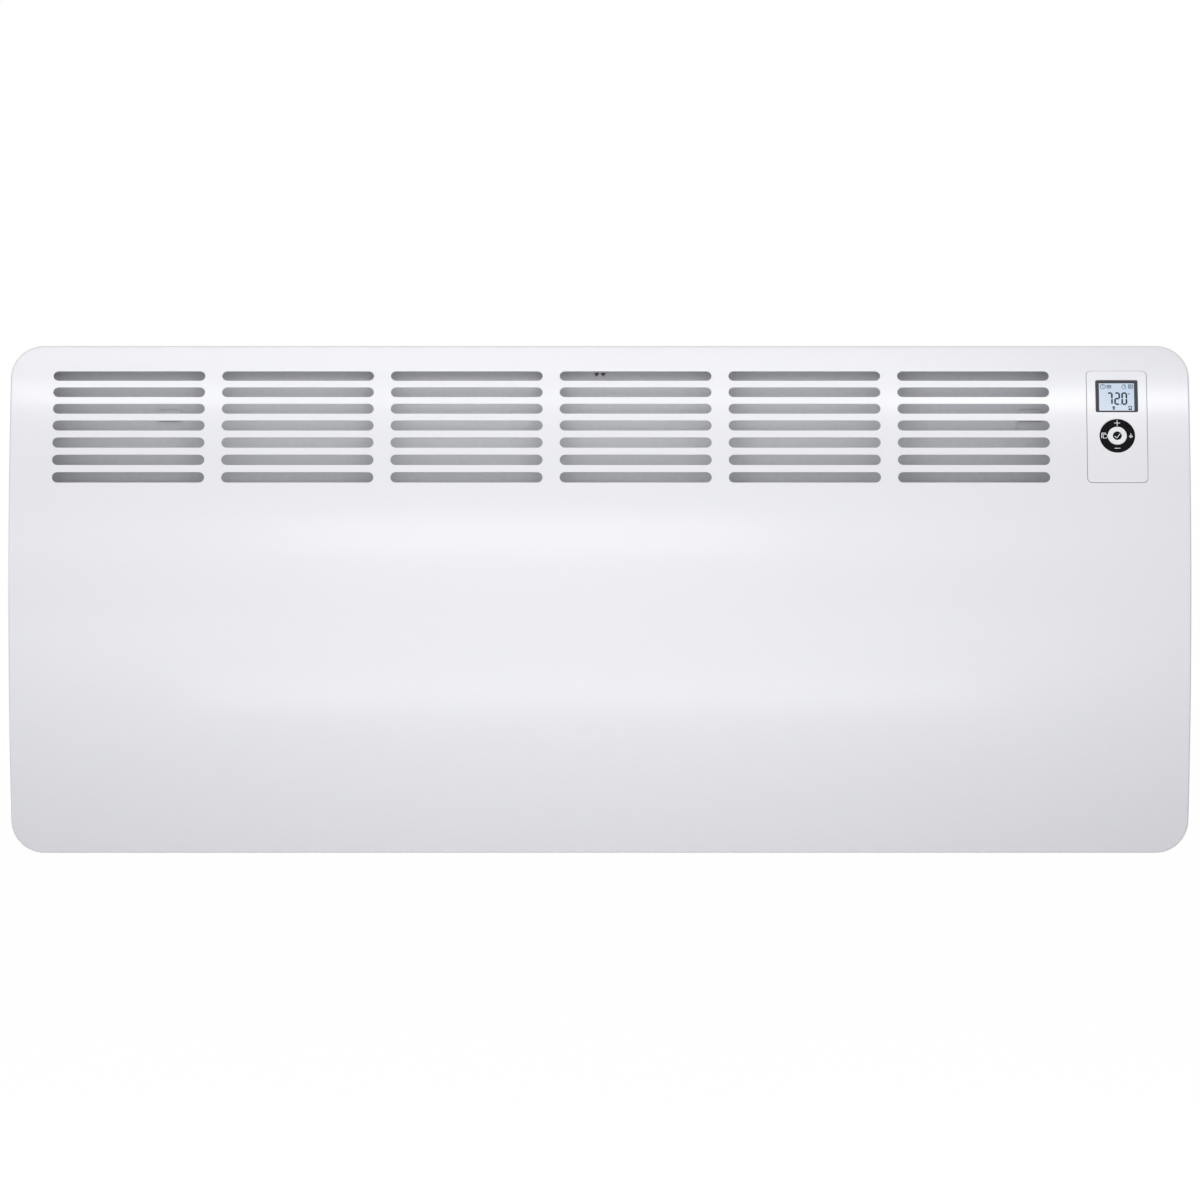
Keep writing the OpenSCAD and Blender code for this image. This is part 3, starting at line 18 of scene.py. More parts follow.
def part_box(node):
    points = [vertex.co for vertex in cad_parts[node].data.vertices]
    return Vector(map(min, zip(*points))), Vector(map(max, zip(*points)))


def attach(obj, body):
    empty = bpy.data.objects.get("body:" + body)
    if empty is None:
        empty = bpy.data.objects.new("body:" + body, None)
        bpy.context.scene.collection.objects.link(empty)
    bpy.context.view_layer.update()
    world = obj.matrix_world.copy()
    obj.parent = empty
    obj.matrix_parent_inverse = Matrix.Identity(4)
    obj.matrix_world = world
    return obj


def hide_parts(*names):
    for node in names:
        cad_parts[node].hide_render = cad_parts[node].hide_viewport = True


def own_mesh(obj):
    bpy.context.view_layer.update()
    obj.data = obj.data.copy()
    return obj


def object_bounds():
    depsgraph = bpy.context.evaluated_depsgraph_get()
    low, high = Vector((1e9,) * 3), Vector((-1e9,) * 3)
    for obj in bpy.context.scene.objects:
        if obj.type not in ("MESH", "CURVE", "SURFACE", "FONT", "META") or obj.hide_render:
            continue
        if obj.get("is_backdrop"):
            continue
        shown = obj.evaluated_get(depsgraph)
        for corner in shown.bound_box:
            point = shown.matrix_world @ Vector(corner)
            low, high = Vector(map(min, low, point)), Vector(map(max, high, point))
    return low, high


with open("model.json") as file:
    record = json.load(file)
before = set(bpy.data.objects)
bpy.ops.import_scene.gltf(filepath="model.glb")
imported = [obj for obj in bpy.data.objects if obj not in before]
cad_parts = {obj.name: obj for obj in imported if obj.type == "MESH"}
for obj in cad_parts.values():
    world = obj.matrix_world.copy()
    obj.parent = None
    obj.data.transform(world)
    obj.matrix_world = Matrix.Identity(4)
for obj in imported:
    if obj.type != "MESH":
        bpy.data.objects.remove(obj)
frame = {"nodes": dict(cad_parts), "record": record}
cad_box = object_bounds()
MM = 0.001

# %% [markdown]
# ## The sizes that the looks share
# The front is one sheet rolled to a bow, so most places on it are easier to give along the sheet
# than in X, Y and Z. An arc of 0 is the foremost line, and a positive arc lies above it. The bow's
# axis is found from the front panel's box in the frame, so that both models follow one another.

# %% The bow
panel_low, panel_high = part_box("front_panel")
BOW_R = 450 * MM
CROWN_UP = 242 * MM
CROWN_Z = panel_low.z + CROWN_UP
BOW_Y = panel_low.y + BOW_R
SHEET = 1.0 * MM


def bow_point(x, arc, out=0.0):
    """The point at an arc along the sheet and a distance out of it."""
    turn = arc / BOW_R
    return Vector((x, BOW_Y - (BOW_R + out) * math.cos(turn), CROWN_Z + (BOW_R + out) * math.sin(turn)))


def arc_at(z):
    """The arc of the bow at a height."""
    return BOW_R * math.asin((z - CROWN_Z) / BOW_R)


def z_of(arc):
    """The height of an arc on the bow."""
    return CROWN_Z + BOW_R * math.sin(arc / BOW_R)


TOP_ARC = arc_at(panel_high.z)
LOW_ARC = arc_at(panel_low.z)
print("arc from", round(LOW_ARC / MM, 1), "to", round(TOP_ARC / MM, 1), "mm")

# %% The outlet slots and the control unit
SLOT_L, SLOT_H = 140.4 * MM, 10 * MM
SLOT_PITCH_X, SLOT_PITCH_ARC = 156.1 * MM, 16.72 * MM
SLOT_COLUMNS, SLOT_ROWS = 6, 7
SIDE_MARGIN = 39.5 * MM
SLOT_TOP_ARC = TOP_ARC - 32.0 * MM
SLOT_LEFT_X = panel_low.x + SIDE_MARGIN

BEZEL_W = 55.5 * MM
BEZEL_X = panel_high.x - SIDE_MARGIN - BEZEL_W / 2
SLOT_BLOCK = (SLOT_ROWS - 1) * SLOT_PITCH_ARC + SLOT_H
BEZEL_ARC = SLOT_TOP_ARC + SLOT_H / 2 - SLOT_BLOCK / 2
DISPLAY_ARC = SLOT_TOP_ARC - 20.7 * MM
KEY_ARC = SLOT_TOP_ARC - 60.3 * MM
print("keys at arc", round(KEY_ARC / MM, 2), "display at arc", round(DISPLAY_ARC / MM, 2))

# %% [markdown]
# ## Colours and material nodes
# Blender's sockets take linear light, and paint charts and photographs give sRGB. One function turns
# a hex value to linear. One more adds a node with its settings and links, which keeps each material
# below a short list of what the real finish does.

# %% Helpers for materials
def hex_colour(text):
    """An sRGB hex value as linear red, green, blue and alpha."""
    channels = [int(text[i:i + 2], 16) / 255 for i in (1, 3, 5)]
    return [c / 12.92 if c <= 0.04045 else ((c + 0.055) / 1.055) ** 2.4 for c in channels] + [1.0]


def add_node(tree, kind, settings=None, links=None, feeds=None):
    """A node of that kind. Settings set its properties or inputs, links feed its inputs by name, and
    feeds names the socket of the material's shader that takes its first output."""
    node = tree.nodes.new("ShaderNode" + kind)
    for key, value in (settings or {}).items():
        if isinstance(key, str) and hasattr(node, key):
            setattr(node, key, value)
        else:
            node.inputs[key].default_value = value
    for key, source in (links or {}).items():
        tree.links.new(source, node.inputs[key])
    if feeds:
        tree.links.new(node.outputs[0], tree.nodes["Principled BSDF"].inputs[feeds])
    return node


def new_material(name, colour, roughness, metallic=0.0, **sockets):
    """A material with one Principled shader, and its node tree."""
    material = bpy.data.materials.new(name)
    material.use_nodes = True
    shader = material.node_tree.nodes["Principled BSDF"]
    shader.inputs["Base Color"].default_value = hex_colour(colour)
    shader.inputs["Roughness"].default_value = roughness
    shader.inputs["Metallic"].default_value = metallic
    for key, value in sockets.items():
        shader.inputs[key.replace("_", " ")].default_value = value
    return material, material.node_tree


def shown_to_eye(tree):
    """1 for what the camera sees straight, in a mirror or through a window, and 0 for other light."""
    rays = add_node(tree, "LightPath")
    seen = add_node(tree, "Math", {"operation": "MAXIMUM"},
                    {0: rays.outputs["Is Camera Ray"], 1: rays.outputs["Is Transmission Ray"]})
    shown = add_node(tree, "Math", {"operation": "MAXIMUM"},
                     {0: seen.outputs[0], 1: rays.outputs["Is Glossy Ray"]})
    return shown.outputs[0]


def blotches(tree, size, detail=2.0, stretch=(1, 1, 1)):
    """A pattern from 0 to 1 whose blotches measure about size metres, stretched along the axes."""
    coords = add_node(tree, "TexCoord")
    mapping = add_node(tree, "Mapping", {"Scale": [1 / (size * s) for s in stretch]},
                       {"Vector": coords.outputs["Object"]})
    return add_node(tree, "TexNoise", {"Scale": 1.0, "Detail": detail},
                    {"Vector": mapping.outputs["Vector"]}).outputs["Fac"]


# %% [markdown]
# ## Painted and metal finishes
# The front is powder coated: fine polyester powder is sprayed on and baked, which leaves a smooth
# satin skin with a very faint orange peel, 1 to 2 mm from crest to crest. The housing is hot-dip
# galvanised sheet, whose zinc freezes into small grey flakes of slightly different brightness. Small
# screws and rivets are zinc plated, which is brighter and a little blue.

# %% White powder coat
def make_powder_coat():
    material, tree = new_material("white_powder_coat", "#f0f0f4", 0.36, Coat_Weight=0.3,
                                  Coat_Roughness=0.15)
    add_node(tree, "MapRange", {"To Min": 0.33, "To Max": 0.39}, {"Value": blotches(tree, 60 * MM)},
             "Roughness")
    # The orange peel is a few thousandths of a millimetre deep
    add_node(tree, "Bump", {"Distance": 0.003 * MM}, {"Height": blotches(tree, 1.6 * MM)}, "Normal")
    return material


# %% Galvanised sheet
def make_galvanised():
    material, tree = new_material("galvanised_sheet", "#bdbec2", 0.46, metallic=1.0)
    coords = add_node(tree, "TexCoord")
    # Flakes of about 5 mm, hardly different from one another on skin-passed sheet
    flakes = add_node(tree, "TexVoronoi", {"Scale": 1 / (5 * MM)}, {"Vector": coords.outputs["Object"]})
    grey = add_node(tree, "RGBToBW", links={"Color": flakes.outputs["Color"]}).outputs["Val"]
    add_node(tree, "MixRGB", {"Color1": hex_colour("#b9babf"), "Color2": hex_colour("#c1c2c6")},
             {"Fac": grey}, "Base Color")
    add_node(tree, "MapRange", {"To Min": 0.42, "To Max": 0.5}, {"Value": grey}, "Roughness")
    add_node(tree, "Bump", {"Distance": 0.002 * MM}, {"Height": blotches(tree, 0.8 * MM)}, "Normal")
    return material


# %% Zinc plated steel
def make_zinc():
    material, tree = new_material("zinc_steel", "#c9cdd2", 0.28, metallic=1.0)
    add_node(tree, "MapRange", {"To Min": 0.22, "To Max": 0.34}, {"Value": blotches(tree, 3 * MM)},
             "Roughness")
    add_node(tree, "Bump", {"Distance": 0.002 * MM}, {"Height": blotches(tree, 0.5 * MM)}, "Normal")
    return material


# %% Extruded aluminium and drawn sheath steel
def make_drawn(name, colour, low, high):
    """A metal with fine lines along X, as a die leaves them, 0.4 mm apart."""
    material, tree = new_material(name, colour, low, metallic=1.0)
    lines = blotches(tree, 0.4 * MM, stretch=(200, 1, 1))
    add_node(tree, "MapRange", {"To Min": low, "To Max": high}, {"Value": lines}, "Roughness")
    add_node(tree, "Bump", {"Distance": 0.006 * MM}, {"Height": lines}, "Normal")
    return material


MATERIALS = {
    "white_powder_coat": make_powder_coat(),
    "galvanised_sheet": make_galvanised(),
    "zinc_steel": make_zinc(),
    "extruded_aluminium": make_drawn("extruded_aluminium", "#cdd0d2", 0.3, 0.42),
    "sheath_steel": make_drawn("sheath_steel", "#9a958f", 0.35, 0.5),
}
print("metals and paint:", sorted(MATERIALS))


# %% [markdown]
# ## Moulded and printed finishes
# ABS mouldings copy their tool: polished steel gives a gloss skin, and a spark-eroded tool gives a
# fine leather-like grain of about half a millimetre. Nylon and PVC are softer and duller. Steatite
# is unglazed ceramic, chalky to the eye. Solder resist is a thin green gloss over the board.

# %% Plastics, rubber and ceramic
def make_moulded(name, colour, roughness, grain=0.002, grain_size=0.5, **sockets):
    """A moulding with a grain of that depth and size in millimetres."""
    material, tree = new_material(name, colour, roughness, **sockets)
    add_node(tree, "MapRange", {"To Min": roughness * 0.9, "To Max": min(1.0, roughness * 1.1)},
             {"Value": blotches(tree, 14 * MM)}, "Roughness")
    add_node(tree, "Bump", {"Distance": grain * MM},
             {"Height": blotches(tree, grain_size * MM, detail=3)}, "Normal")
    return material


MATERIALS.update({
    "white_gloss_abs": make_moulded("white_gloss_abs", "#f1f1f5", 0.33, 0.002, 2.5, Coat_Weight=0.2,
                                    Coat_Roughness=0.15),
    # the room that shiny things reflect is plain white here, so black ones get less of it
    "black_gloss_abs": make_moulded("black_gloss_abs", "#09090c", 0.45, 0.002, 1.5,
                                    Specular_IOR_Level=0.06),
    "grey_abs": make_moulded("grey_abs", "#8d9095", 0.5, 0.02),
    "black_nylon": make_moulded("black_nylon", "#15151a", 0.48, 0.015),
    "white_nylon": make_moulded("white_nylon", "#e4e3dd", 0.45, 0.012),
    "black_rubber": make_moulded("black_rubber", "#1b1b1d", 0.72, 0.03, 0.8),
    "steatite": make_moulded("steatite", "#ece4d3", 0.8, 0.02, 0.4),
    "white_diffuser": make_moulded("white_diffuser", "#f4f4f4", 0.5, 0.004, 1.0),
    "component_blue": make_moulded("component_blue", "#27406e", 0.4, 0.01),
    "copper_winding": make_moulded("copper_winding", "#b8793f", 0.4, 0.05, 1.2),
    "silicone_grey": make_moulded("silicone_grey", "#74777c", 0.55, 0.03, 0.7),
    "pvc_black": make_moulded("pvc_black", "#1d1d20", 0.45, 0.015, 0.6),
    "board_green": make_moulded("board_green", "#1f5a3a", 0.3, 0.03, 2.0, Coat_Weight=0.5),
    "dark_grey_lacquer": make_moulded("dark_grey_lacquer", "#2c3035", 0.4, 0.002, 1.0,
                                      Specular_IOR_Level=0.25),
})
print("materials so far:", len(MATERIALS))


# %% [markdown]
# ## The lit display
# A small liquid-crystal display is lit from behind through a diffuser, so it glows a little on its
# own: its colour is given as a weak emission, brighter towards the lower left where the lamp sits.
# Part of that emission is painted light: the face's base is nearly black, so the glow also stands in
# for the room light that the face would give back.
# The digits are opaque ink in front of that glow, and a clear window lies over both.

# %% Display materials
def make_lcd():
    """The display's face, pale blue from its backlight and from painted room light."""
    material, tree = new_material("lcd_glass", "#12151a", 0.4, Specular_IOR_Level=0.0,
                                  Emission_Strength=0.97)
    low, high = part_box("display_panel")
    coords = add_node(tree, "TexCoord")
    place = add_node(tree, "SeparateXYZ", links={"Vector": coords.outputs["Object"]})
    across = add_node(tree, "MapRange", {"From Min": low.x, "From Max": high.x},
                      {"Value": place.outputs["X"]})
    up = add_node(tree, "MapRange", {"From Min": low.z, "From Max": high.z},
                  {"Value": place.outputs["Z"]})
    away = add_node(tree, "Math", {"operation": "MULTIPLY_ADD", 1: 0.5},
                    {0: across.outputs["Result"], 2: up.outputs["Result"]})
    # painted light: this emission colour carries the room light on the face as well as the backlight
    add_node(tree, "MixRGB", {"Color1": hex_colour("#dfe7f2"), "Color2": hex_colour("#cddcee")},
             {"Fac": away.outputs[0]}, "Emission Color")
    return material


def make_window():
    """Clear acrylic with a coat against reflections. The thin sheet bends light too little to show, and
    with an index as low as this one it doesn't mirror the lamp that stands where it faces."""
    material, tree = new_material("display_glass", "#ffffff", 0.03, IOR=1.02, Transmission_Weight=1.0,
                                  Specular_Tint=(0, 0, 0, 1))
    add_node(tree, "MapRange", {"To Min": 0.02, "To Max": 0.04}, {"Value": blotches(tree, 20 * MM)},
             "Roughness")
    return material


MATERIALS["lcd_glass"] = make_lcd()
MATERIALS["display_glass"] = make_window()
MATERIALS["lcd_ink"] = make_moulded("lcd_ink", "#1e2834", 0.6, Specular_IOR_Level=0.05)
MATERIALS["key_print"] = make_moulded("key_print", "#eceef0", 0.4)
print("all materials:", len(MATERIALS))


# %% [markdown]
# ## Dress the frame's own nodes
# Each node's slot in the record says what it is made of, so the record can hand out the finishes.
# Pieces that are modelled again further down take the same slots.

# %% Finishes for every node
SLOT_OF = {row["node"]: row["material_slot"] for row in frame["record"]["subparts"]}
for name, node in frame["nodes"].items():
    node.data.materials.clear()
    node.data.materials.append(MATERIALS[SLOT_OF[name]])
print("dressed", len(SLOT_OF), "nodes")

# %% [markdown]
# ## Helpers for pieces
# Every new piece ends the same way: its bmesh becomes a mesh whose object sits at the origin, takes
# a material, rides on a body and stands for the nodes that it replaces. Bevels and thickness are
# bmesh operators with their values written out, because their defaults differ from the editor's.

# %% The same order in every run
def each_once(elements):
    """A list without repeats that keeps its order, so that every run makes the same mesh. A set would
    go through a mesh's elements in another order each time."""
    return list(dict.fromkeys(elements))


def in_one_order(bm):
    """Puts points, edges and faces in the order of their places, where an operator mixed them up."""
    for elements, place in ((bm.verts, lambda vert: vert.co),
                            (bm.edges, lambda edge: edge.verts[0].co + edge.verts[1].co),
                            (bm.faces, lambda face: face.calc_center_median())):
        ranked = sorted(elements, key=lambda element: place(element)[:])
        ranks = {element: rank for rank, element in enumerate(ranked)}
        elements.sort(key=ranks.get)


# %% Finish a piece
BODY_OF = {node: body for body, nodes in frame["record"]["behaviour"]["bodies"].items()
           for node in nodes}
SMOOTH_BELOW = 50  # degrees between faces, past which an edge stays sharp


def finish_piece(name, bm, slot, body="heater", replaces=(), material=None):
    """Turns a bmesh into a piece of the object."""
    mesh = bpy.data.meshes.new(name)
    bm.to_mesh(mesh)
    bm.free()
    piece = bpy.data.objects.new(name, mesh)
    bpy.context.scene.collection.objects.link(piece)
    mesh.materials.append(MATERIALS[material or slot])
    mesh.shade_smooth()
    mesh.set_sharp_from_angle(angle=math.radians(SMOOTH_BELOW))
    # Large faces keep their own direction beside a narrow rounded edge
    weighted = piece.modifiers.new("even shading", "WEIGHTED_NORMAL")
    weighted.keep_sharp = True
    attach(piece, body)
    if replaces:
        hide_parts(*replaces)
    return piece


def ease_edges(bm, width, segments=2, degrees=35):
    """Rounds the edges whose two faces meet at more than that angle."""
    limit = math.radians(degrees)
    edges = [e for e in bm.edges if len(e.link_faces) == 2 and e.calc_face_angle() > limit]
    bmesh.ops.bevel(bm, geom=edges, offset=width, offset_type="OFFSET", segments=segments, profile=0.5,
                    affect="EDGES", clamp_overlap=True, material=-1)


def copy_of(node):
    """A merged copy of a node's mesh, with its flat faces whole again."""
    bm = bmesh.new()
    bm.from_mesh(frame["nodes"][node].data)
    bmesh.ops.remove_doubles(bm, verts=bm.verts, dist=0.002 * MM)
    bmesh.ops.dissolve_limit(bm, angle_limit=math.radians(0.5), verts=bm.verts, edges=bm.edges)
    return bm


def eased(node, width, segments=2, degrees=35):
    """Stands for a node with the same solid, its edges rounded as a tool or a press leaves them."""
    bm = copy_of(node)
    ease_edges(bm, width, segments, degrees)
    return finish_piece(node + "_eased", bm, SLOT_OF[node], BODY_OF[node], [node])


# %% [markdown]
# ## The bowed front
# The real front is one steel blank: the slots and the opening for the control unit are punched while
# it is flat, its rim is folded back into a lip and the whole is rolled to its bow. It is made here in
# the same order. Rounded rectangles lie flat as outlines, one fill closes the sheet between them, and
# the last step lays every point on the bow. That keeps each slot as true as a punch does.

# %% Flat outlines
def rounded_rectangle(bm, centre, width, height, radius, segments):
    """The edges of a rounded rectangle that stands in the XZ plane."""
    quad = bmesh.ops.create_grid(bm, x_segments=1, y_segments=1, size=0.5)["verts"]
    stand = Matrix.Translation((centre[0], 0, centre[1])) @ Matrix.Rotation(math.radians(90), 4, "X")
    bmesh.ops.scale(bm, vec=(width, height, 1), verts=quad)
    bmesh.ops.transform(bm, matrix=stand, verts=quad)
    rounded = bmesh.ops.bevel(bm, geom=quad, offset=radius, offset_type="OFFSET", segments=segments,
                              profile=0.5, affect="VERTICES", clamp_overlap=False, material=-1)
    faces = each_once(face for vert in rounded["verts"] for face in vert.link_faces)
    edges = each_once(edge for face in faces for edge in face.edges)
    bmesh.ops.delete(bm, geom=faces, context="FACES_ONLY")
    return edges


def lay_on_arcs(edges):
    """Points given along the sheet take the height that they have on the bow."""
    for vert in each_once(vert for edge in edges for vert in edge.verts):
        vert.co.z = z_of(vert.co.z)


def band_cuts(bm, low, high, step):
    """Cuts a flat sheet into bands of equal width along the sheet, so that it can bend."""
    count = int((high - low) / step)
    for i in range(1, count):
        height = z_of(low + (high - low) * i / count)
        bmesh.ops.bisect_plane(bm, geom=bm.verts[:] + bm.edges[:] + bm.faces[:], dist=0.001 * MM,
                               plane_co=(0, 0, height), plane_no=(0, 0, 1))


# %% Punch the flat blank
PANEL_W = panel_high.x - panel_low.x
PANEL_H = panel_high.z - panel_low.z
PANEL_MIDDLE = ((panel_low.x + panel_high.x) / 2, (panel_low.z + panel_high.z) / 2)
CORNER_R = 30 * MM
FOLD_R = 1.6 * MM
BEZEL_GAP = 0.35 * MM
BEZEL_R = 4.2 * MM

panel = bmesh.new()
rim = rounded_rectangle(panel, PANEL_MIDDLE, PANEL_W - 2 * FOLD_R, PANEL_H - 2 * FOLD_R,
                        CORNER_R - FOLD_R, 18)
rim_verts = {vert for edge in rim for vert in edge.verts}
holes = []
for column in range(SLOT_COLUMNS):
    for row in range(SLOT_ROWS):
        centre = (SLOT_LEFT_X + SLOT_L / 2 + column * SLOT_PITCH_X, SLOT_TOP_ARC - row * SLOT_PITCH_ARC)
        holes += rounded_rectangle(panel, centre, SLOT_L, SLOT_H, SLOT_H / 2 - 0.01 * MM, 10)
holes += rounded_rectangle(panel, (BEZEL_X, BEZEL_ARC), BEZEL_W + 2 * BEZEL_GAP,
                           SLOT_BLOCK + 2 * BEZEL_GAP, BEZEL_R + BEZEL_GAP, 8)
lay_on_arcs(holes)
bmesh.ops.triangle_fill(panel, edges=rim + holes, use_beauty=True, use_dissolve=False,
                        normal=(0, -1, 0))
print("flat blank:", len(panel.faces), "faces,", SLOT_COLUMNS * SLOT_ROWS, "slots")

# %% Fold the lip
LIP_DEPTH = 12 * MM
LIP_R = BOW_R - LIP_DEPTH
FOLD_STEPS = 4


def set_back(z, r=BOW_R):
    """How far the bow lies behind its foremost line at a height."""
    return BOW_R - math.sqrt(r * r - (z - CROWN_Z) ** 2)


def fold_point(vert, inset, depth):
    """Moves a rim vertex to an inset from the front's outline and a depth behind the sheet."""
    half = Vector((PANEL_W / 2 - CORNER_R, 0, PANEL_H / 2 - CORNER_R))
    middle = Vector((PANEL_MIDDLE[0], 0, PANEL_MIDDLE[1]))
    place = Vector((vert.co.x, 0, vert.co.z)) - middle
    core = Vector([max(-h, min(h, c)) for h, c in zip(half, place)])
    vert.co = middle + core + (place - core).normalized() * (CORNER_R - inset)
    vert.co.y = depth


loop = [edge for edge in panel.edges if edge.is_boundary and all(v in rim_verts for v in edge.verts)]
print("rim edges:", len(loop))
steps = [(FOLD_R * (1 - math.sin(a)), FOLD_R * (1 - math.cos(a)))
         for a in (math.pi / 2 * i / FOLD_STEPS for i in range(1, FOLD_STEPS + 1))]
for inset, depth in steps + [(0, None)]:
    made = bmesh.ops.extrude_edge_only(panel, edges=loop)["geom"]
    loop = [item for item in made if isinstance(item, bmesh.types.BMEdge)]
    loop = [edge for edge in loop if edge.is_boundary]
    for vert in each_once(v for edge in loop for v in edge.verts):
        lip_depth = set_back(vert.co.z, LIP_R) - set_back(vert.co.z)
        fold_point(vert, inset, lip_depth if depth is None else depth)

# %% Roll it and give it its thickness
PANEL_BAND = 4 * MM
band_cuts(panel, LOW_ARC, TOP_ARC, PANEL_BAND)
for vert in panel.verts:
    vert.co.y += panel_low.y + set_back(vert.co.z)
bmesh.ops.remove_doubles(panel, verts=panel.verts, dist=0.01 * MM)
bmesh.ops.recalc_face_normals(panel, faces=panel.faces)
front_face = min(panel.faces, key=lambda f: f.calc_center_median().y)
print("foremost face looks along", [round(c, 2) for c in front_face.normal])
if front_face.normal.y > 0:
    bmesh.ops.reverse_faces(panel, faces=panel.faces)
bmesh.ops.solidify(panel, geom=panel.faces[:], thickness=SHEET)
ease_edges(panel, 0.22 * MM, degrees=60)
in_one_order(panel)
front = finish_piece("front_sheet", panel, "white_powder_coat", replaces=["front_panel"])
print("front sheet:", len(front.data.polygons), "faces, y from",
      round(min(v.co.y for v in front.data.vertices) / MM, 2), "frame", round(panel_low.y / MM, 2))

# %% [markdown]
# ## The control unit's cover
# The cover is a gloss ABS moulding that sits in its opening with a thin shadow line all round. It has
# the front's own bow, a window for the display and a round hole for the keys, so it is made from
# outlines as the front is, only thicker and with softer edges.

# %% Frames that stand on the bow
def on_bow(arc, x=0.0, out=0.0, scale=1.0):
    """A frame at an arc, with Y up along the sheet and Z out of it."""
    turn = math.radians(90) - arc / BOW_R
    return (Matrix.Translation(bow_point(x, arc, out)) @ Matrix.Rotation(turn, 4, "X")
            @ Matrix.Scale(scale, 4))


# %% Mould the cover
BEZEL_PROUD = 0.3 * MM
BEZEL_T = 2.5 * MM
DISPLAY_W, DISPLAY_H, DISPLAY_R = 39 * MM, 32.4 * MM, 1.5 * MM
WINDOW_GAP = 0.15 * MM
COVER_PLAY = 0.12 * MM  # the moulding's edge draws in by this much, which deepens the line round it
COVER_BAND = 3 * MM
KEY_HOLE_R = 16.45 * MM

cover = bmesh.new()
outlines = rounded_rectangle(cover, (BEZEL_X, BEZEL_ARC), BEZEL_W - 2 * COVER_PLAY,
                             SLOT_BLOCK - 2 * COVER_PLAY, BEZEL_R, 10)
outlines += rounded_rectangle(cover, (BEZEL_X, DISPLAY_ARC), DISPLAY_W + 2 * WINDOW_GAP,
                              DISPLAY_H + 2 * WINDOW_GAP, DISPLAY_R + WINDOW_GAP, 6)
circle = bmesh.ops.create_circle(cover, segments=96, radius=KEY_HOLE_R)["verts"]
bmesh.ops.transform(cover, verts=circle, matrix=Matrix.Translation((BEZEL_X, 0, KEY_ARC))
                    @ Matrix.Rotation(math.radians(90), 4, "X"))
outlines += each_once(edge for vert in circle for edge in vert.link_edges)
lay_on_arcs(outlines)
bmesh.ops.triangle_fill(cover, edges=outlines, use_beauty=True, use_dissolve=False, normal=(0, -1, 0))
band_cuts(cover, BEZEL_ARC - SLOT_BLOCK / 2, BEZEL_ARC + SLOT_BLOCK / 2, COVER_BAND)
for vert in cover.verts:
    vert.co.y += panel_low.y + set_back(vert.co.z)
about_axis = Matrix.Translation((0, -BOW_Y, -CROWN_Z))
proud = (BOW_R + BEZEL_PROUD) / BOW_R
bmesh.ops.scale(cover, vec=(1, proud, proud), space=about_axis, verts=cover.verts)
bmesh.ops.recalc_face_normals(cover, faces=cover.faces)
if sum(face.normal.y for face in cover.faces) > 0:
    bmesh.ops.reverse_faces(cover, faces=cover.faces)
bmesh.ops.solidify(cover, geom=cover.faces[:], thickness=BEZEL_T)
ease_edges(cover, 0.4 * MM, segments=3, degrees=60)
cover_piece = finish_piece("control_cover", cover, "white_gloss_abs", replaces=["control_bezel"])
print("cover:", len(cover_piece.data.polygons), "faces")

# %% [markdown]
# ## Keys
# Four black keys share a ring, each a quarter of it, round a white disc with a black middle. The
# ring's solids are right already and only want softer edges. The disc is turned on a lathe, so to
# say: its half section is drawn once, with the shallow groove that the finger feels, and spun.

# %% The ring's quarters
RING_KEYS = ["key_plus", "key_minus", "key_menu", "key_heat"]
for node in RING_KEYS:
    eased(node, 0.25 * MM, segments=3, degrees=50)


# %% The white disc
def turned(name, section, frame_at, steps, slot, body, replaces):
    """Spins a half section of (radius, height) points in millimetres about a frame's Z axis."""
    bm = bmesh.new()
    verts = [bm.verts.new((r, 0, z)) for r, z in section]
    edges = [bm.edges.new(pair) for pair in zip(verts, verts[1:])]
    bmesh.ops.spin(bm, geom=verts + edges, cent=(0, 0, 0), axis=(0, 0, 1), angle=2 * math.pi,
                   steps=steps, use_merge=True)
    bmesh.ops.remove_doubles(bm, verts=bm.verts, dist=0.0005)
    bmesh.ops.recalc_face_normals(bm, faces=bm.faces)
    bmesh.ops.transform(bm, matrix=frame_at, verts=bm.verts)
    return finish_piece(name, bm, slot, body, replaces)


KEY_FRAME = on_bow(KEY_ARC, BEZEL_X, scale=MM)
KEY_TOP = 0.5  # the keys' faces, in millimetres out of the sheet
turned("ok_disc", [
    (0, KEY_TOP - 0.8), (4.13, KEY_TOP - 0.8), (4.13, KEY_TOP - 0.1), (4.25, KEY_TOP),
    (5.95, KEY_TOP), (6.15, KEY_TOP - 0.1), (6.45, KEY_TOP - 0.1), (6.65, KEY_TOP),
    (8.45, KEY_TOP - 0.02), (8.7, KEY_TOP - 0.12), (8.8, KEY_TOP - 0.35), (8.8, -4.73),
    (9.75, -4.73), (9.75, -5.73), (1.7, -5.73), (1.7, -8.8), (1.5, -9.0), (0, -9.0),
], KEY_FRAME, 96, "white_gloss_abs", "ok_key", ["key_ok"])
eased("key_ok_inlay", 0.12 * MM, segments=2, degrees=50)

# %% [markdown]
# ## Printed and lit signs
# The signs on the keys are white ink a few hundredths of a millimetre thick, and the display's
# digits are dark bars with pointed ends. Each is a small real shape that lies on its face, so it
# keeps its edge from close by and needs no picture.

# %% Bars and rings of ink
INK_T = 0.05  # millimetres, thicker than real ink so that it shows
INK_SHIFT = 0.01  # how far ink is sunk in a key, or floats in front of the display


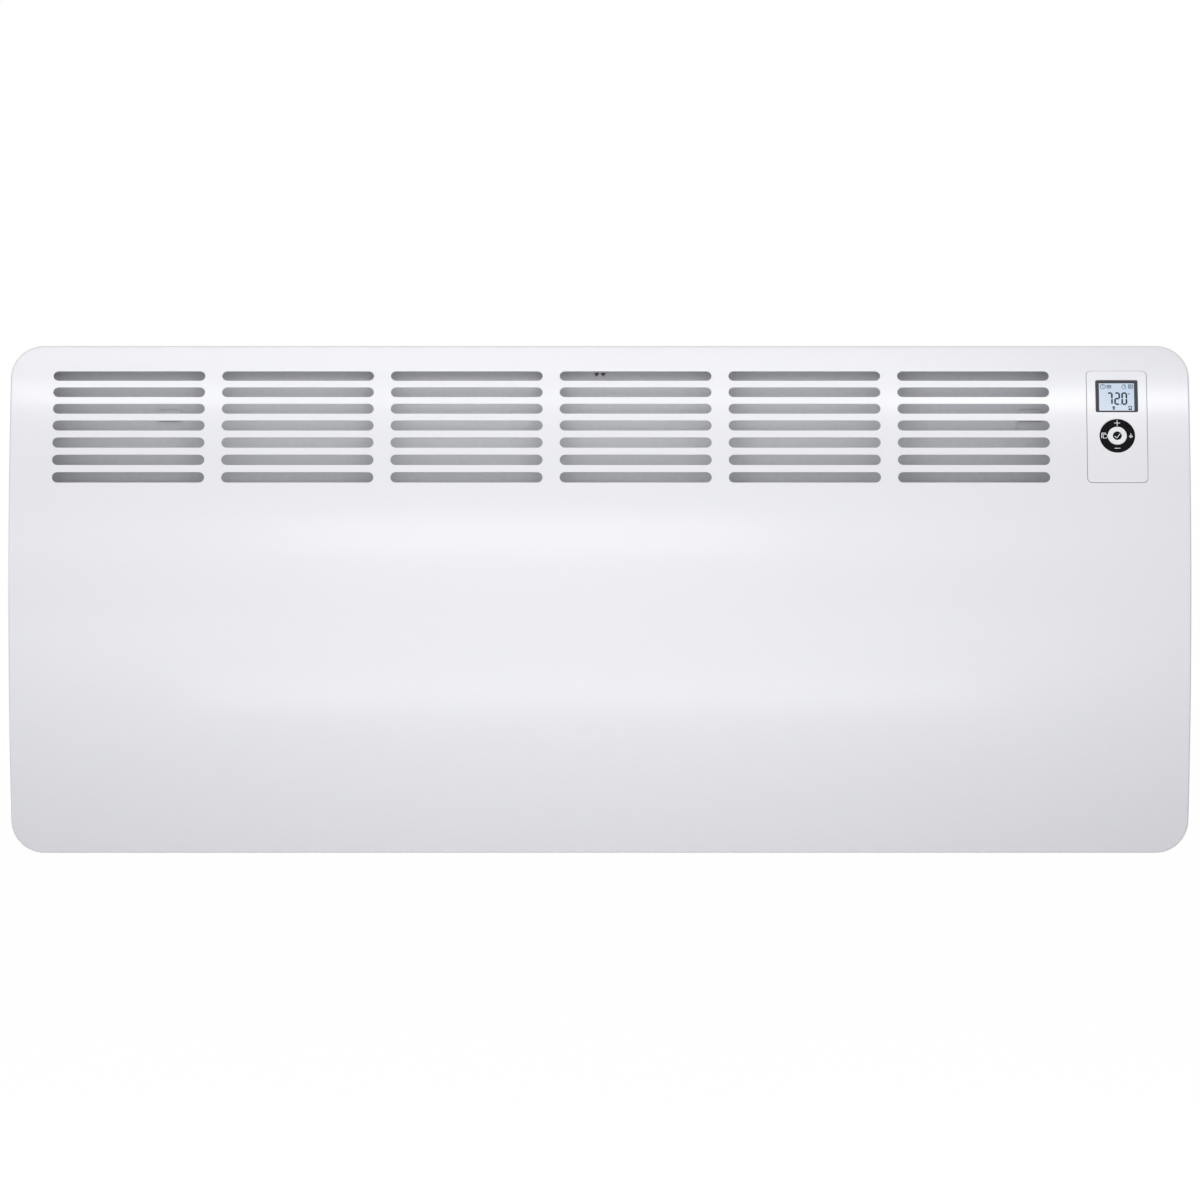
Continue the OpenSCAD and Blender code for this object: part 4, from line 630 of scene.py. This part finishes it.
def ink_bar(bm, start, end, width, pointed=0.0):
    """A bar between two points, in millimetres. Pointed ends take that share of half its width."""
    start, end = Vector((*start, 0)), Vector((*end, 0))
    along = end - start
    bar = bmesh.ops.create_cube(bm, size=1)["verts"]
    bmesh.ops.scale(bm, vec=(along.length, width, INK_T), verts=bar)
    if pointed:
        ends = each_once(e for v in bar for e in v.link_edges
                         if abs((e.verts[0].co - e.verts[1].co).z) > INK_T / 2)
        made = bmesh.ops.bevel(bm, geom=ends, offset=pointed * width / 2, offset_type="OFFSET",
                               segments=1, profile=0.5, affect="EDGES", clamp_overlap=False,
                               material=-1)
        bar = each_once(v for face in made["faces"] for v in face.verts)
    turn = Matrix.Rotation(math.atan2(along.y, along.x), 4, "Z")
    bmesh.ops.transform(bm, matrix=Matrix.Translation((start + end) / 2) @ turn, verts=bar)


def ink_path(bm, points, width, closed=False):
    """Bars along a path of points."""
    points = list(points) + ([points[0]] if closed else [])
    for start, end in zip(points, points[1:]):
        ink_bar(bm, start, end, width)


def ink_ring(bm, centre, radius, width, start=0, end=360):
    """A ring or an arc of ink, spun from its small section."""
    section = bmesh.ops.create_grid(bm, x_segments=1, y_segments=1, size=0.5)["verts"]
    bmesh.ops.scale(bm, vec=(width, INK_T, 1), verts=section)
    stand = Matrix.Translation((radius, 0, 0)) @ Matrix.Rotation(math.radians(90), 4, "X")
    place = Matrix.Translation((*centre, 0)) @ Matrix.Rotation(math.radians(start), 4, "Z")
    bmesh.ops.transform(bm, matrix=place @ stand, verts=section)
    face = section[0].link_faces[0]
    bmesh.ops.spin(bm, geom=[face] + list(face.edges) + section, cent=(*centre, 0), axis=(0, 0, 1),
                   angle=math.radians(end - start), steps=max(8, int(abs(end - start) / 12)),
                   use_merge=end - start == 360)


def lay_ink(name, bm, frame_at, slot, body, material):
    """Lays signs on a frame and closes the piece."""
    bmesh.ops.remove_doubles(bm, verts=bm.verts, dist=0.0001)
    bmesh.ops.recalc_face_normals(bm, faces=bm.faces)
    bmesh.ops.transform(bm, matrix=frame_at, verts=bm.verts)
    return finish_piece(name, bm, slot, body, material=material)


# %% Signs on the keys
INK_FRAME = KEY_FRAME @ Matrix.Translation((0, 0, KEY_TOP + INK_T / 2 - INK_SHIFT))
SIGN_REACH = 12.35  # from the keys' middle to each sign

plus = bmesh.new()
ink_bar(plus, (-2.75, SIGN_REACH), (2.75, SIGN_REACH), 0.65)
ink_bar(plus, (0, SIGN_REACH - 2.7), (0, SIGN_REACH - 0.325), 0.65)
ink_bar(plus, (0, SIGN_REACH + 0.325), (0, SIGN_REACH + 2.7), 0.65)
lay_ink("plus_sign", plus, INK_FRAME, "white_gloss_abs", "plus_key", "key_print")

minus = bmesh.new()
ink_bar(minus, (-2.7, -SIGN_REACH), (2.7, -SIGN_REACH), 0.55)
lay_ink("minus_sign", minus, INK_FRAME, "white_gloss_abs", "minus_key", "key_print")

# a page in front of another
pages = bmesh.new()
ink_path(pages, [(-10.4, 2.45), (-14.3, 2.45), (-14.3, -2.4)], 0.75)
ink_path(pages, [(-13.0, -2.4), (-10.0, -2.4), (-9.1, -1.3), (-9.1, 0.3), (-10.2, 1.3), (-13.0, 1.3)],
         0.55, closed=True)
lay_ink("pages_sign", pages, INK_FRAME, "white_gloss_abs", "menu_key", "key_print")

arrow = bmesh.new()
ink_bar(arrow, (12.5, 2.1), (12.5, -0.8), 0.6)
ink_path(arrow, [(11.4, 0.3), (12.5, -0.7), (13.6, 0.3)], 0.45)
ink_path(arrow, [(10.9, -0.4), (12.5, -2.0), (14.1, -0.4)], 0.75)
lay_ink("arrow_sign", arrow, INK_FRAME, "white_gloss_abs", "heat_key", "key_print")

check = bmesh.new()
ink_path(check, [(-2.5, -0.5), (-0.3, -2.2), (2.7, 2.1)], 0.7)
lay_ink("check_sign", check, INK_FRAME, "white_gloss_abs", "ok_key", "key_print")

# %% [markdown]
# ## The display
# Behind a clear window the panel glows pale blue. Three digits of seven segments show a temperature,
# with small pictograms along the upper edge and the lower. They float a hair in front of the panel,
# as the ink layer of such a display does.

# %% Frame and window
eased("display_frame", 0.2 * MM, segments=2, degrees=50)
INK_ROOM = 0.2 * MM  # the window's back makes this much room for the ink
WINDOW_HALF = 1.5 * MM  # a depth in the bow that lies between the window's two faces
window = copy_of("display_glass")
inside = on_bow(DISPLAY_ARC, BEZEL_X, out=-WINDOW_HALF)
out_of_bow = inside.to_3x3() @ Vector((0, 0, 1))
back_verts = [v for v in window.verts if (v.co - inside.translation).dot(out_of_bow) < 0]
bmesh.ops.translate(window, vec=out_of_bow * INK_ROOM, verts=back_verts)
ease_edges(window, 0.1 * MM)
finish_piece("display_window", window, "display_glass", replaces=["display_glass"])

# %% Digits and pictograms
SEGMENTS = {"a": ((0, 1), (1, 1)), "b": ((1, 1), (1, 0.5)), "c": ((1, 0.5), (1, 0)),
            "d": ((0, 0), (1, 0)), "e": ((0, 0.5), (0, 0)), "f": ((0, 1), (0, 0.5)),
            "g": ((0, 0.5), (1, 0.5))}
DIGIT_H = 11.3
STROKE = 1.55
SEGMENT_GAP = 0.12


def digit(bm, left, low, width, lit):
    """The lit segments of one digit, from its lower left corner in millimetres."""
    for name in lit:
        (x0, y0), (x1, y1) = SEGMENTS[name]
        start = Vector((left + x0 * width, low + y0 * DIGIT_H))
        end = Vector((left + x1 * width, low + y1 * DIGIT_H))
        pull = (end - start).normalized() * (SEGMENT_GAP + STROKE * 0.1)
        ink_bar(bm, start + pull, end - pull, STROKE, pointed=0.6)


figures = bmesh.new()
DIGITS_LOW = -7.2
digit(figures, -8.1, DIGITS_LOW, 3.85, "abc")
digit(figures, -1.4, DIGITS_LOW, 3.95, "abged")
ink_bar(figures, (3.5, DIGITS_LOW), (4.3, DIGITS_LOW), 0.9)
digit(figures, 5.2, DIGITS_LOW, 3.9, "abcdef")
ink_ring(figures, (11.4, 3.3), 0.55, 0.35)

# a clock, a keypad, a gauge and a calendar above
ink_ring(figures, (-12.5, 10.7), 2.3, 0.5)
ink_path(figures, [(-12.5, 12.1), (-12.5, 10.7), (-11.6, 10.3)], 0.5)
ink_path(figures, [(-8.7, 9.1), (-5.2, 9.1), (-5.2, 12.1), (-8.7, 12.1)], 0.5, closed=True)
ink_bar(figures, (-6.95, 9.4), (-6.95, 11.8), 0.5)
ink_bar(figures, (-8.4, 10.6), (-5.5, 10.6), 0.5)
ink_ring(figures, (7.4, 10.5), 2.3, 0.4, 60, 320)
ink_bar(figures, (7.0, 11.9), (8.9, 10.0), 0.8)
ink_path(figures, [(11.2, 9.0), (15.2, 9.0), (15.2, 12.5), (11.2, 12.5)], 0.5, closed=True)
ink_bar(figures, (11.5, 11.4), (14.9, 11.4), 0.5)
for column in (12.3, 13.5):
    ink_bar(figures, (column, 9.3), (column, 11.1), 0.5)

# a double arrow and a bell below
ink_path(figures, [(-3.9, -10.8), (-2.7, -9.3), (-1.5, -10.8)], 0.8)
ink_bar(figures, (-2.7, -9.8), (-2.7, -12.2), 0.8)
ink_path(figures, [(-3.6, -11.7), (-2.7, -12.9), (-1.8, -11.7)], 0.8)
ink_path(figures, [(10.7, -10.3), (11.3, -9.5), (12.5, -9.3), (13.7, -9.5), (14.3, -10.3)], 0.7)
ink_path(figures, [(11.6, -10.2), (11.1, -12.8), (13.9, -12.8), (13.4, -10.2)], 0.6)
ink_bar(figures, (11.3, -12.2), (13.7, -12.2), 0.9)

LCD_FACE = -2.2  # millimetres out of the sheet
DISPLAY_FRAME = (on_bow(DISPLAY_ARC, BEZEL_X, scale=MM)
                 @ Matrix.Translation((0, 0, LCD_FACE + INK_T / 2 + INK_SHIFT)))
lay_ink("display_signs", figures, DISPLAY_FRAME, "lcd_glass", "heater", "lcd_ink")

# %% [markdown]
# ## Sheet metal and mouldings behind the front
# The solids behind the front are right in shape, but their edges are knife-sharp. Sheared sheet has
# an edge broken by about a tenth of its thickness and a moulding has a small radius everywhere, so
# each solid is copied, merged and eased by its own width in millimetres.

# %% Ease the other solids
EASED = {
    "rear_housing": 0.12, "end_plates": 0.12, "bulkhead": 0.12, "air_deflector": 0.12,
    "heat_shield": 0.1, "panel_brackets": 0.12, "bracket_leg_left": 0.25, "bracket_leg_right": 0.25,
    "bracket_rail": 0.25, "latch_arm": 0.2, "latch_guide": 0.3, "latch_slide": 0.35,
    "wall_buffers": 1.2, "limiter_brackets": 0.1, "element_hangers": 0.12, "element_bushes": 0.4,
    "thermal_limiters": 0.2, "control_box": 0.2, "backlight_guide": 0.2, "display_board": 0.12,
    "key_switches": 0.15, "power_board": 0.12, "relays": 0.4, "transformer": 0.5, "capacitors": 0.5,
    "board_connectors": 0.3, "board_spacers": 0.15, "terminal_block": 0.3, "earth_stud": 0.15,
    "gland_body": 0.5, "gland_nut": 0.4, "gland_seal": 0.1, "cable_clamp": 0.5,
    "switch_housing": 0.3, "power_rocker": 0.35, "room_sensor": 0.25, "sensor_holder": 0.25,
    "bulkhead_grommets": 0.3,
}
faces = 0
for node, width in EASED.items():
    piece = eased(node, width * MM)
    faces += len(piece.data.polygons)
print("eased", len(EASED), "solids,", faces, "faces")

# %% [markdown]
# ## Screws, rivets and wires
# A pan head is pressed from wire: a low dome with a cross struck into its top. One screw is made at
# the origin and stamped at every place where the frame has one, and each place is read from the
# frame's own solids. Rivet heads are domed by a wide bevel. The wires only want smooth shading, which
# a merged copy takes.

# %% Screws with a cross recess
def loose_parts(node):
    """The lowest and highest corner of every loose part of a node."""
    bm = copy_of(node)
    corners = []
    seen = set()
    for first in bm.verts:
        if first in seen:
            continue
        seen.add(first)
        part = [first]
        for vert in part:  # the list grows while the loop runs through it
            near = [edge.other_vert(vert) for edge in vert.link_edges]
            part += [other for other in near if other not in seen]
            seen.update(near)
        corners.append([Vector(limit(vert.co[i] for vert in part) for i in range(3))
                        for limit in (min, max)])
    bm.free()
    return corners


def pan_head_screw(bm, head_r, head_h, shank_r, reach):
    """A screw along Z whose head sits on the plane of X and Y."""
    recess = bmesh.ops.create_grid(bm, x_segments=3, y_segments=3, size=head_r * 0.52)["verts"]
    cells = {face: face.calc_center_median() for vert in recess for face in vert.link_faces}
    corners = [face for face, place in cells.items() if min(abs(place.x), abs(place.y)) > head_r * 0.1]
    bmesh.ops.delete(bm, geom=corners, context="FACES")
    bmesh.ops.translate(bm, vec=(0, 0, head_h), verts=bm.verts)
    cross_rim = [edge for edge in bm.edges if edge.is_boundary]
    section = [(head_r * 0.62, head_h), (head_r * 0.86, head_h * 0.88), (head_r, head_h * 0.5),
               (head_r, 0), (shank_r, 0), (shank_r, -reach), (0, -reach)]
    verts = [bm.verts.new((r, 0, z)) for r, z in section]
    edges = [bm.edges.new(pair) for pair in zip(verts, verts[1:])]
    bmesh.ops.spin(bm, geom=verts + edges, cent=(0, 0, 0), axis=(0, 0, 1), angle=2 * math.pi,
                   steps=32, use_merge=True)
    top = head_h * 0.95
    top_rim = [e for e in bm.edges if e.is_boundary and e not in cross_rim and e.verts[0].co.z > top]
    bmesh.ops.triangle_fill(bm, edges=cross_rim + top_rim, use_beauty=True, use_dissolve=False,
                            normal=(0, 0, 1))
    floor_faces = [f for f in bm.faces if f.calc_center_median().z > top and len(f.verts) == 4
                   and f.calc_center_median().to_2d().length < head_r * 0.4]
    sunk = bmesh.ops.extrude_face_region(bm, geom=floor_faces)["geom"]
    sunk = [item for item in sunk if isinstance(item, bmesh.types.BMVert)]
    bmesh.ops.translate(bm, vec=(0, 0, -head_h * 0.6), verts=sunk)
    bmesh.ops.scale(bm, vec=(0.6, 0.6, 1), verts=sunk)
    bmesh.ops.remove_doubles(bm, verts=bm.verts, dist=0.005 * MM)
    bmesh.ops.recalc_face_normals(bm, faces=bm.faces)


screws = bmesh.new()
SHANK_R = 2 * MM
SCREW_HEAD_H = 2.2 * MM
for low, high in loose_parts("panel_screws"):
    head_r = (high.x - low.x) / 2
    middle = (low + high) / 2
    upright = middle.z > CROWN_Z
    one = bmesh.new()
    pan_head_screw(one, head_r, SCREW_HEAD_H, SHANK_R, high.z - low.z - SCREW_HEAD_H)
    seat = Vector((middle.x, middle.y, high.z - SCREW_HEAD_H if upright else low.z + SCREW_HEAD_H))
    turn = Matrix.Rotation(0 if upright else math.pi, 4, "X")
    bmesh.ops.transform(one, matrix=Matrix.Translation(seat) @ turn, verts=one.verts)
    stamped = bpy.data.meshes.new("one screw")
    one.to_mesh(stamped)
    one.free()
    screws.from_mesh(stamped)
    bpy.data.meshes.remove(stamped)
screw_piece = finish_piece("panel_screw_heads", screws, "zinc_steel", replaces=["panel_screws"])
print("panel screws:", len(screw_piece.data.polygons), "faces")

# %% Rivets and wires
eased("bracket_rivets", 0.7 * MM, segments=4)
eased("terminal_screws", 0.15 * MM)
for node in ["element_leads", "limiter_leads", "supply_leads", "ribbon_cable", "element_rods"]:
    finish_piece(node + "_smooth", copy_of(node), SLOT_OF[node], BODY_OF[node], [node])

# %% [markdown]
# ## Latch spring
# A fine round wire is coiled on a mandrel. One circle is spun and carried along the axis, so that
# six turns come out as one smooth tube. The real spring shortens as the latch gives way; here it is
# coiled at the length that the frame gives.

# %% Coil the spring
spring_low, spring_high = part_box("latch_spring")
WIRE_R = 0.4 * MM
COIL_TURNS = 6
coil_r = (spring_high.x - spring_low.x) / 2 - WIRE_R
coil_l = spring_high.y - spring_low.y - 2 * WIRE_R
coil_z = (spring_low.z + spring_high.z) / 2
STEPS = 24 * COIL_TURNS
spring = bmesh.new()
ring = bmesh.ops.create_circle(spring, segments=10, radius=WIRE_R, cap_ends=True)["verts"]
start = Matrix.Translation((coil_r, spring_low.y + WIRE_R, coil_z))
bmesh.ops.transform(spring, matrix=start, verts=ring)
bmesh.ops.spin(spring, geom=spring.verts[:] + spring.edges[:] + spring.faces[:], cent=(0, 0, coil_z),
               axis=(0, -1, 0), dvec=(0, coil_l / STEPS, 0), angle=2 * math.pi * COIL_TURNS,
               steps=STEPS)
bmesh.ops.recalc_face_normals(spring, faces=spring.faces)
coil = finish_piece("latch_coil", spring, "zinc_steel", "bracket", ["latch_spring"])
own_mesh(coil)
print("coil", round(coil_l / MM, 2), "mm long, radius", round(coil_r / MM, 2))

# %% [markdown]
# ## Camera
# The photograph is taken from straight in front, through a long lens: the slots lie almost parallel
# from row to row. At 10.5 m the panel's bow shows the slight drift of its slot ends that the
# photograph has. The camera stands level with the middle of the heater.

# %% The camera
CAMERA_DISTANCE = 10.506
VIEW_WIDTH = 1.1055  # width of the view at the foremost line
SHIFT_RIGHT, SHIFT_DOWN = 0.0001, 0.0004  # from the panel's middle, as on the photograph
SENSOR = 36.0
camera_data = bpy.data.cameras.new("camera")
camera_data.sensor_width = SENSOR
camera_data.lens = SENSOR * CAMERA_DISTANCE / VIEW_WIDTH
camera_data.clip_end = 100
camera = bpy.data.objects.new("camera", camera_data)
bpy.context.scene.collection.objects.link(camera)
middle_z = (panel_low.z + panel_high.z) / 2
camera.location = (SHIFT_RIGHT, panel_low.y - CAMERA_DISTANCE, middle_z - SHIFT_DOWN)
camera.rotation_euler = (math.radians(90), 0, 0)
bpy.context.scene.camera = camera
print("lens", round(camera_data.lens, 1), "mm")

# %% [markdown]
# ## Light, world and floor
# The bow works as a wide mirror: a lamp in front shows as a bright band at one height, and a lamp
# high above as a band near the upper edge. So the weak boxes in front give the middle its even
# tone, those high up give the bright spots between the slots, and a large one far to the left
# brings out the slots' ends. The world fills in from all round. What the camera sees of world and
# floor is plain white, and so is what metal and glass reflect of it, while the floor keeps the
# heater's soft shadow.

# %% Soft boxes
def soft_box(name, place, target, size, power):
    """A rectangular lamp at a place that faces a target."""
    data = bpy.data.lights.new(name, "AREA")
    data.shape = "RECTANGLE"
    data.size, data.size_y = size
    data.energy = power
    lamp = bpy.data.objects.new(name, data)
    bpy.context.scene.collection.objects.link(lamp)
    lamp.location = place
    lamp.rotation_euler = (Vector(target) - Vector(place)).to_track_quat("-Z", "Y").to_euler()


HEATER_MIDDLE = (0, -0.1, middle_z)
UPPER_EDGE = (0, -0.1, 0.2)
soft_box("front_wide", (-0.08, -2.1, 0.5), HEATER_MIDDLE, (1.3, 0.4), 1.4)
soft_box("front_high", (-0.08, -1.5, 0.38), HEATER_MIDDLE, (0.5, 0.25), 1.35)
soft_box("front_level", (-0.08, -1.5, 0.05), HEATER_MIDDLE, (0.5, 0.3), 0.35)
soft_box("front_low", (-0.05, -1.6, -0.38), HEATER_MIDDLE, (1.2, 0.5), 1.8)
soft_box("near_low", (0, -0.9, -0.45), HEATER_MIDDLE, (0.8, 0.15), 1.0)
soft_box("steep_band", (-0.3, -1.4, 2.6), HEATER_MIDDLE, (1.6, 0.6), 11.5)
soft_box("high_left", (-0.75, -1.9, 2.3), (-0.5, -0.1, 0.2), (0.6, 0.3), 4.8)
soft_box("high_middle", (-0.1, -2.1, 2.4), UPPER_EDGE, (1.1, 0.2), 5.1)
soft_box("high_right", (0.68, -2.1, 2.36), (0.5, -0.1, 0.2), (0.6, 0.3), 9.2)
soft_box("far_left", (-4.5, -4.0, 0.8), HEATER_MIDDLE, (1.5, 1.5), 30)

# %% The world
WORLD_FILL = 0.315
world = bpy.data.worlds.new("studio")
bpy.context.scene.world = world
world.use_nodes = True
tree = world.node_tree
tree.nodes.clear()
shown = shown_to_eye(tree)
fill = add_node(tree, "Background", {"Color": hex_colour("#fbfcff"), "Strength": WORLD_FILL})
white = add_node(tree, "Background", {"Color": (1, 1, 1, 1), "Strength": 1.0})
mixed = add_node(tree, "MixShader", links={0: shown, 1: fill.outputs[0], 2: white.outputs[0]})
add_node(tree, "OutputWorld", links={"Surface": mixed.outputs[0]})

# %% The floor
FLOOR_DROP = 0.42  # the heater's lower edge hangs this far above the floor
FLOOR_REACH = 60
WHITE_SHARE = 0.82  # how much of the floor is plain white to the eye, the rest shows light and shadow
FLOOR_GLOW = 1.14  # so that the share and the lit rest of the floor together come out white
bm = bmesh.new()
bmesh.ops.create_grid(bm, x_segments=1, y_segments=1, size=FLOOR_REACH)
bmesh.ops.translate(bm, vec=(0, 0, panel_low.z - FLOOR_DROP), verts=bm.verts)
floor_mesh = bpy.data.meshes.new("floor")
bm.to_mesh(floor_mesh)
bm.free()
floor = bpy.data.objects.new("floor", floor_mesh)
bpy.context.scene.collection.objects.link(floor)
floor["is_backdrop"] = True

floor_material, tree = new_material("pale_floor", "#ececec", 0.9)
shown = shown_to_eye(tree)
share = add_node(tree, "Math", {"operation": "MULTIPLY", 1: WHITE_SHARE}, {0: shown})
white = add_node(tree, "Emission", {"Color": (1, 1, 1, 1), "Strength": FLOOR_GLOW})
mixed = add_node(tree, "MixShader", links={
    0: share.outputs[0], 1: tree.nodes["Principled BSDF"].outputs[0], 2: white.outputs[0]})
# Seen from below, the floor is clear, so that the heater's underside can be looked at
side = add_node(tree, "NewGeometry")
rays = add_node(tree, "LightPath")
below = add_node(tree, "Math", {"operation": "MULTIPLY"},
                 {0: side.outputs["Backfacing"], 1: rays.outputs["Is Camera Ray"]})
clear = add_node(tree, "BsdfTransparent")
open_below = add_node(tree, "MixShader", links={
    0: below.outputs[0], 1: mixed.outputs[0], 2: clear.outputs[0]})
tree.links.new(open_below.outputs[0], tree.nodes["Material Output"].inputs["Surface"])
floor_mesh.materials.append(floor_material)
bpy.context.scene.view_settings.view_transform = "Standard"

# %% [markdown]
# ## Compare the two boxes
# The looks may not grow past the construction. The frame's box was kept right after loading, and
# the box of all that is shown now goes beside it.

# %% Print how far the box grew
shown_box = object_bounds()
growth = (shown_box[1] - shown_box[0]) - (cad_box[1] - cad_box[0])
print("box grew by", [round(growth[i] / MM, 2) for i in range(3)], "mm")
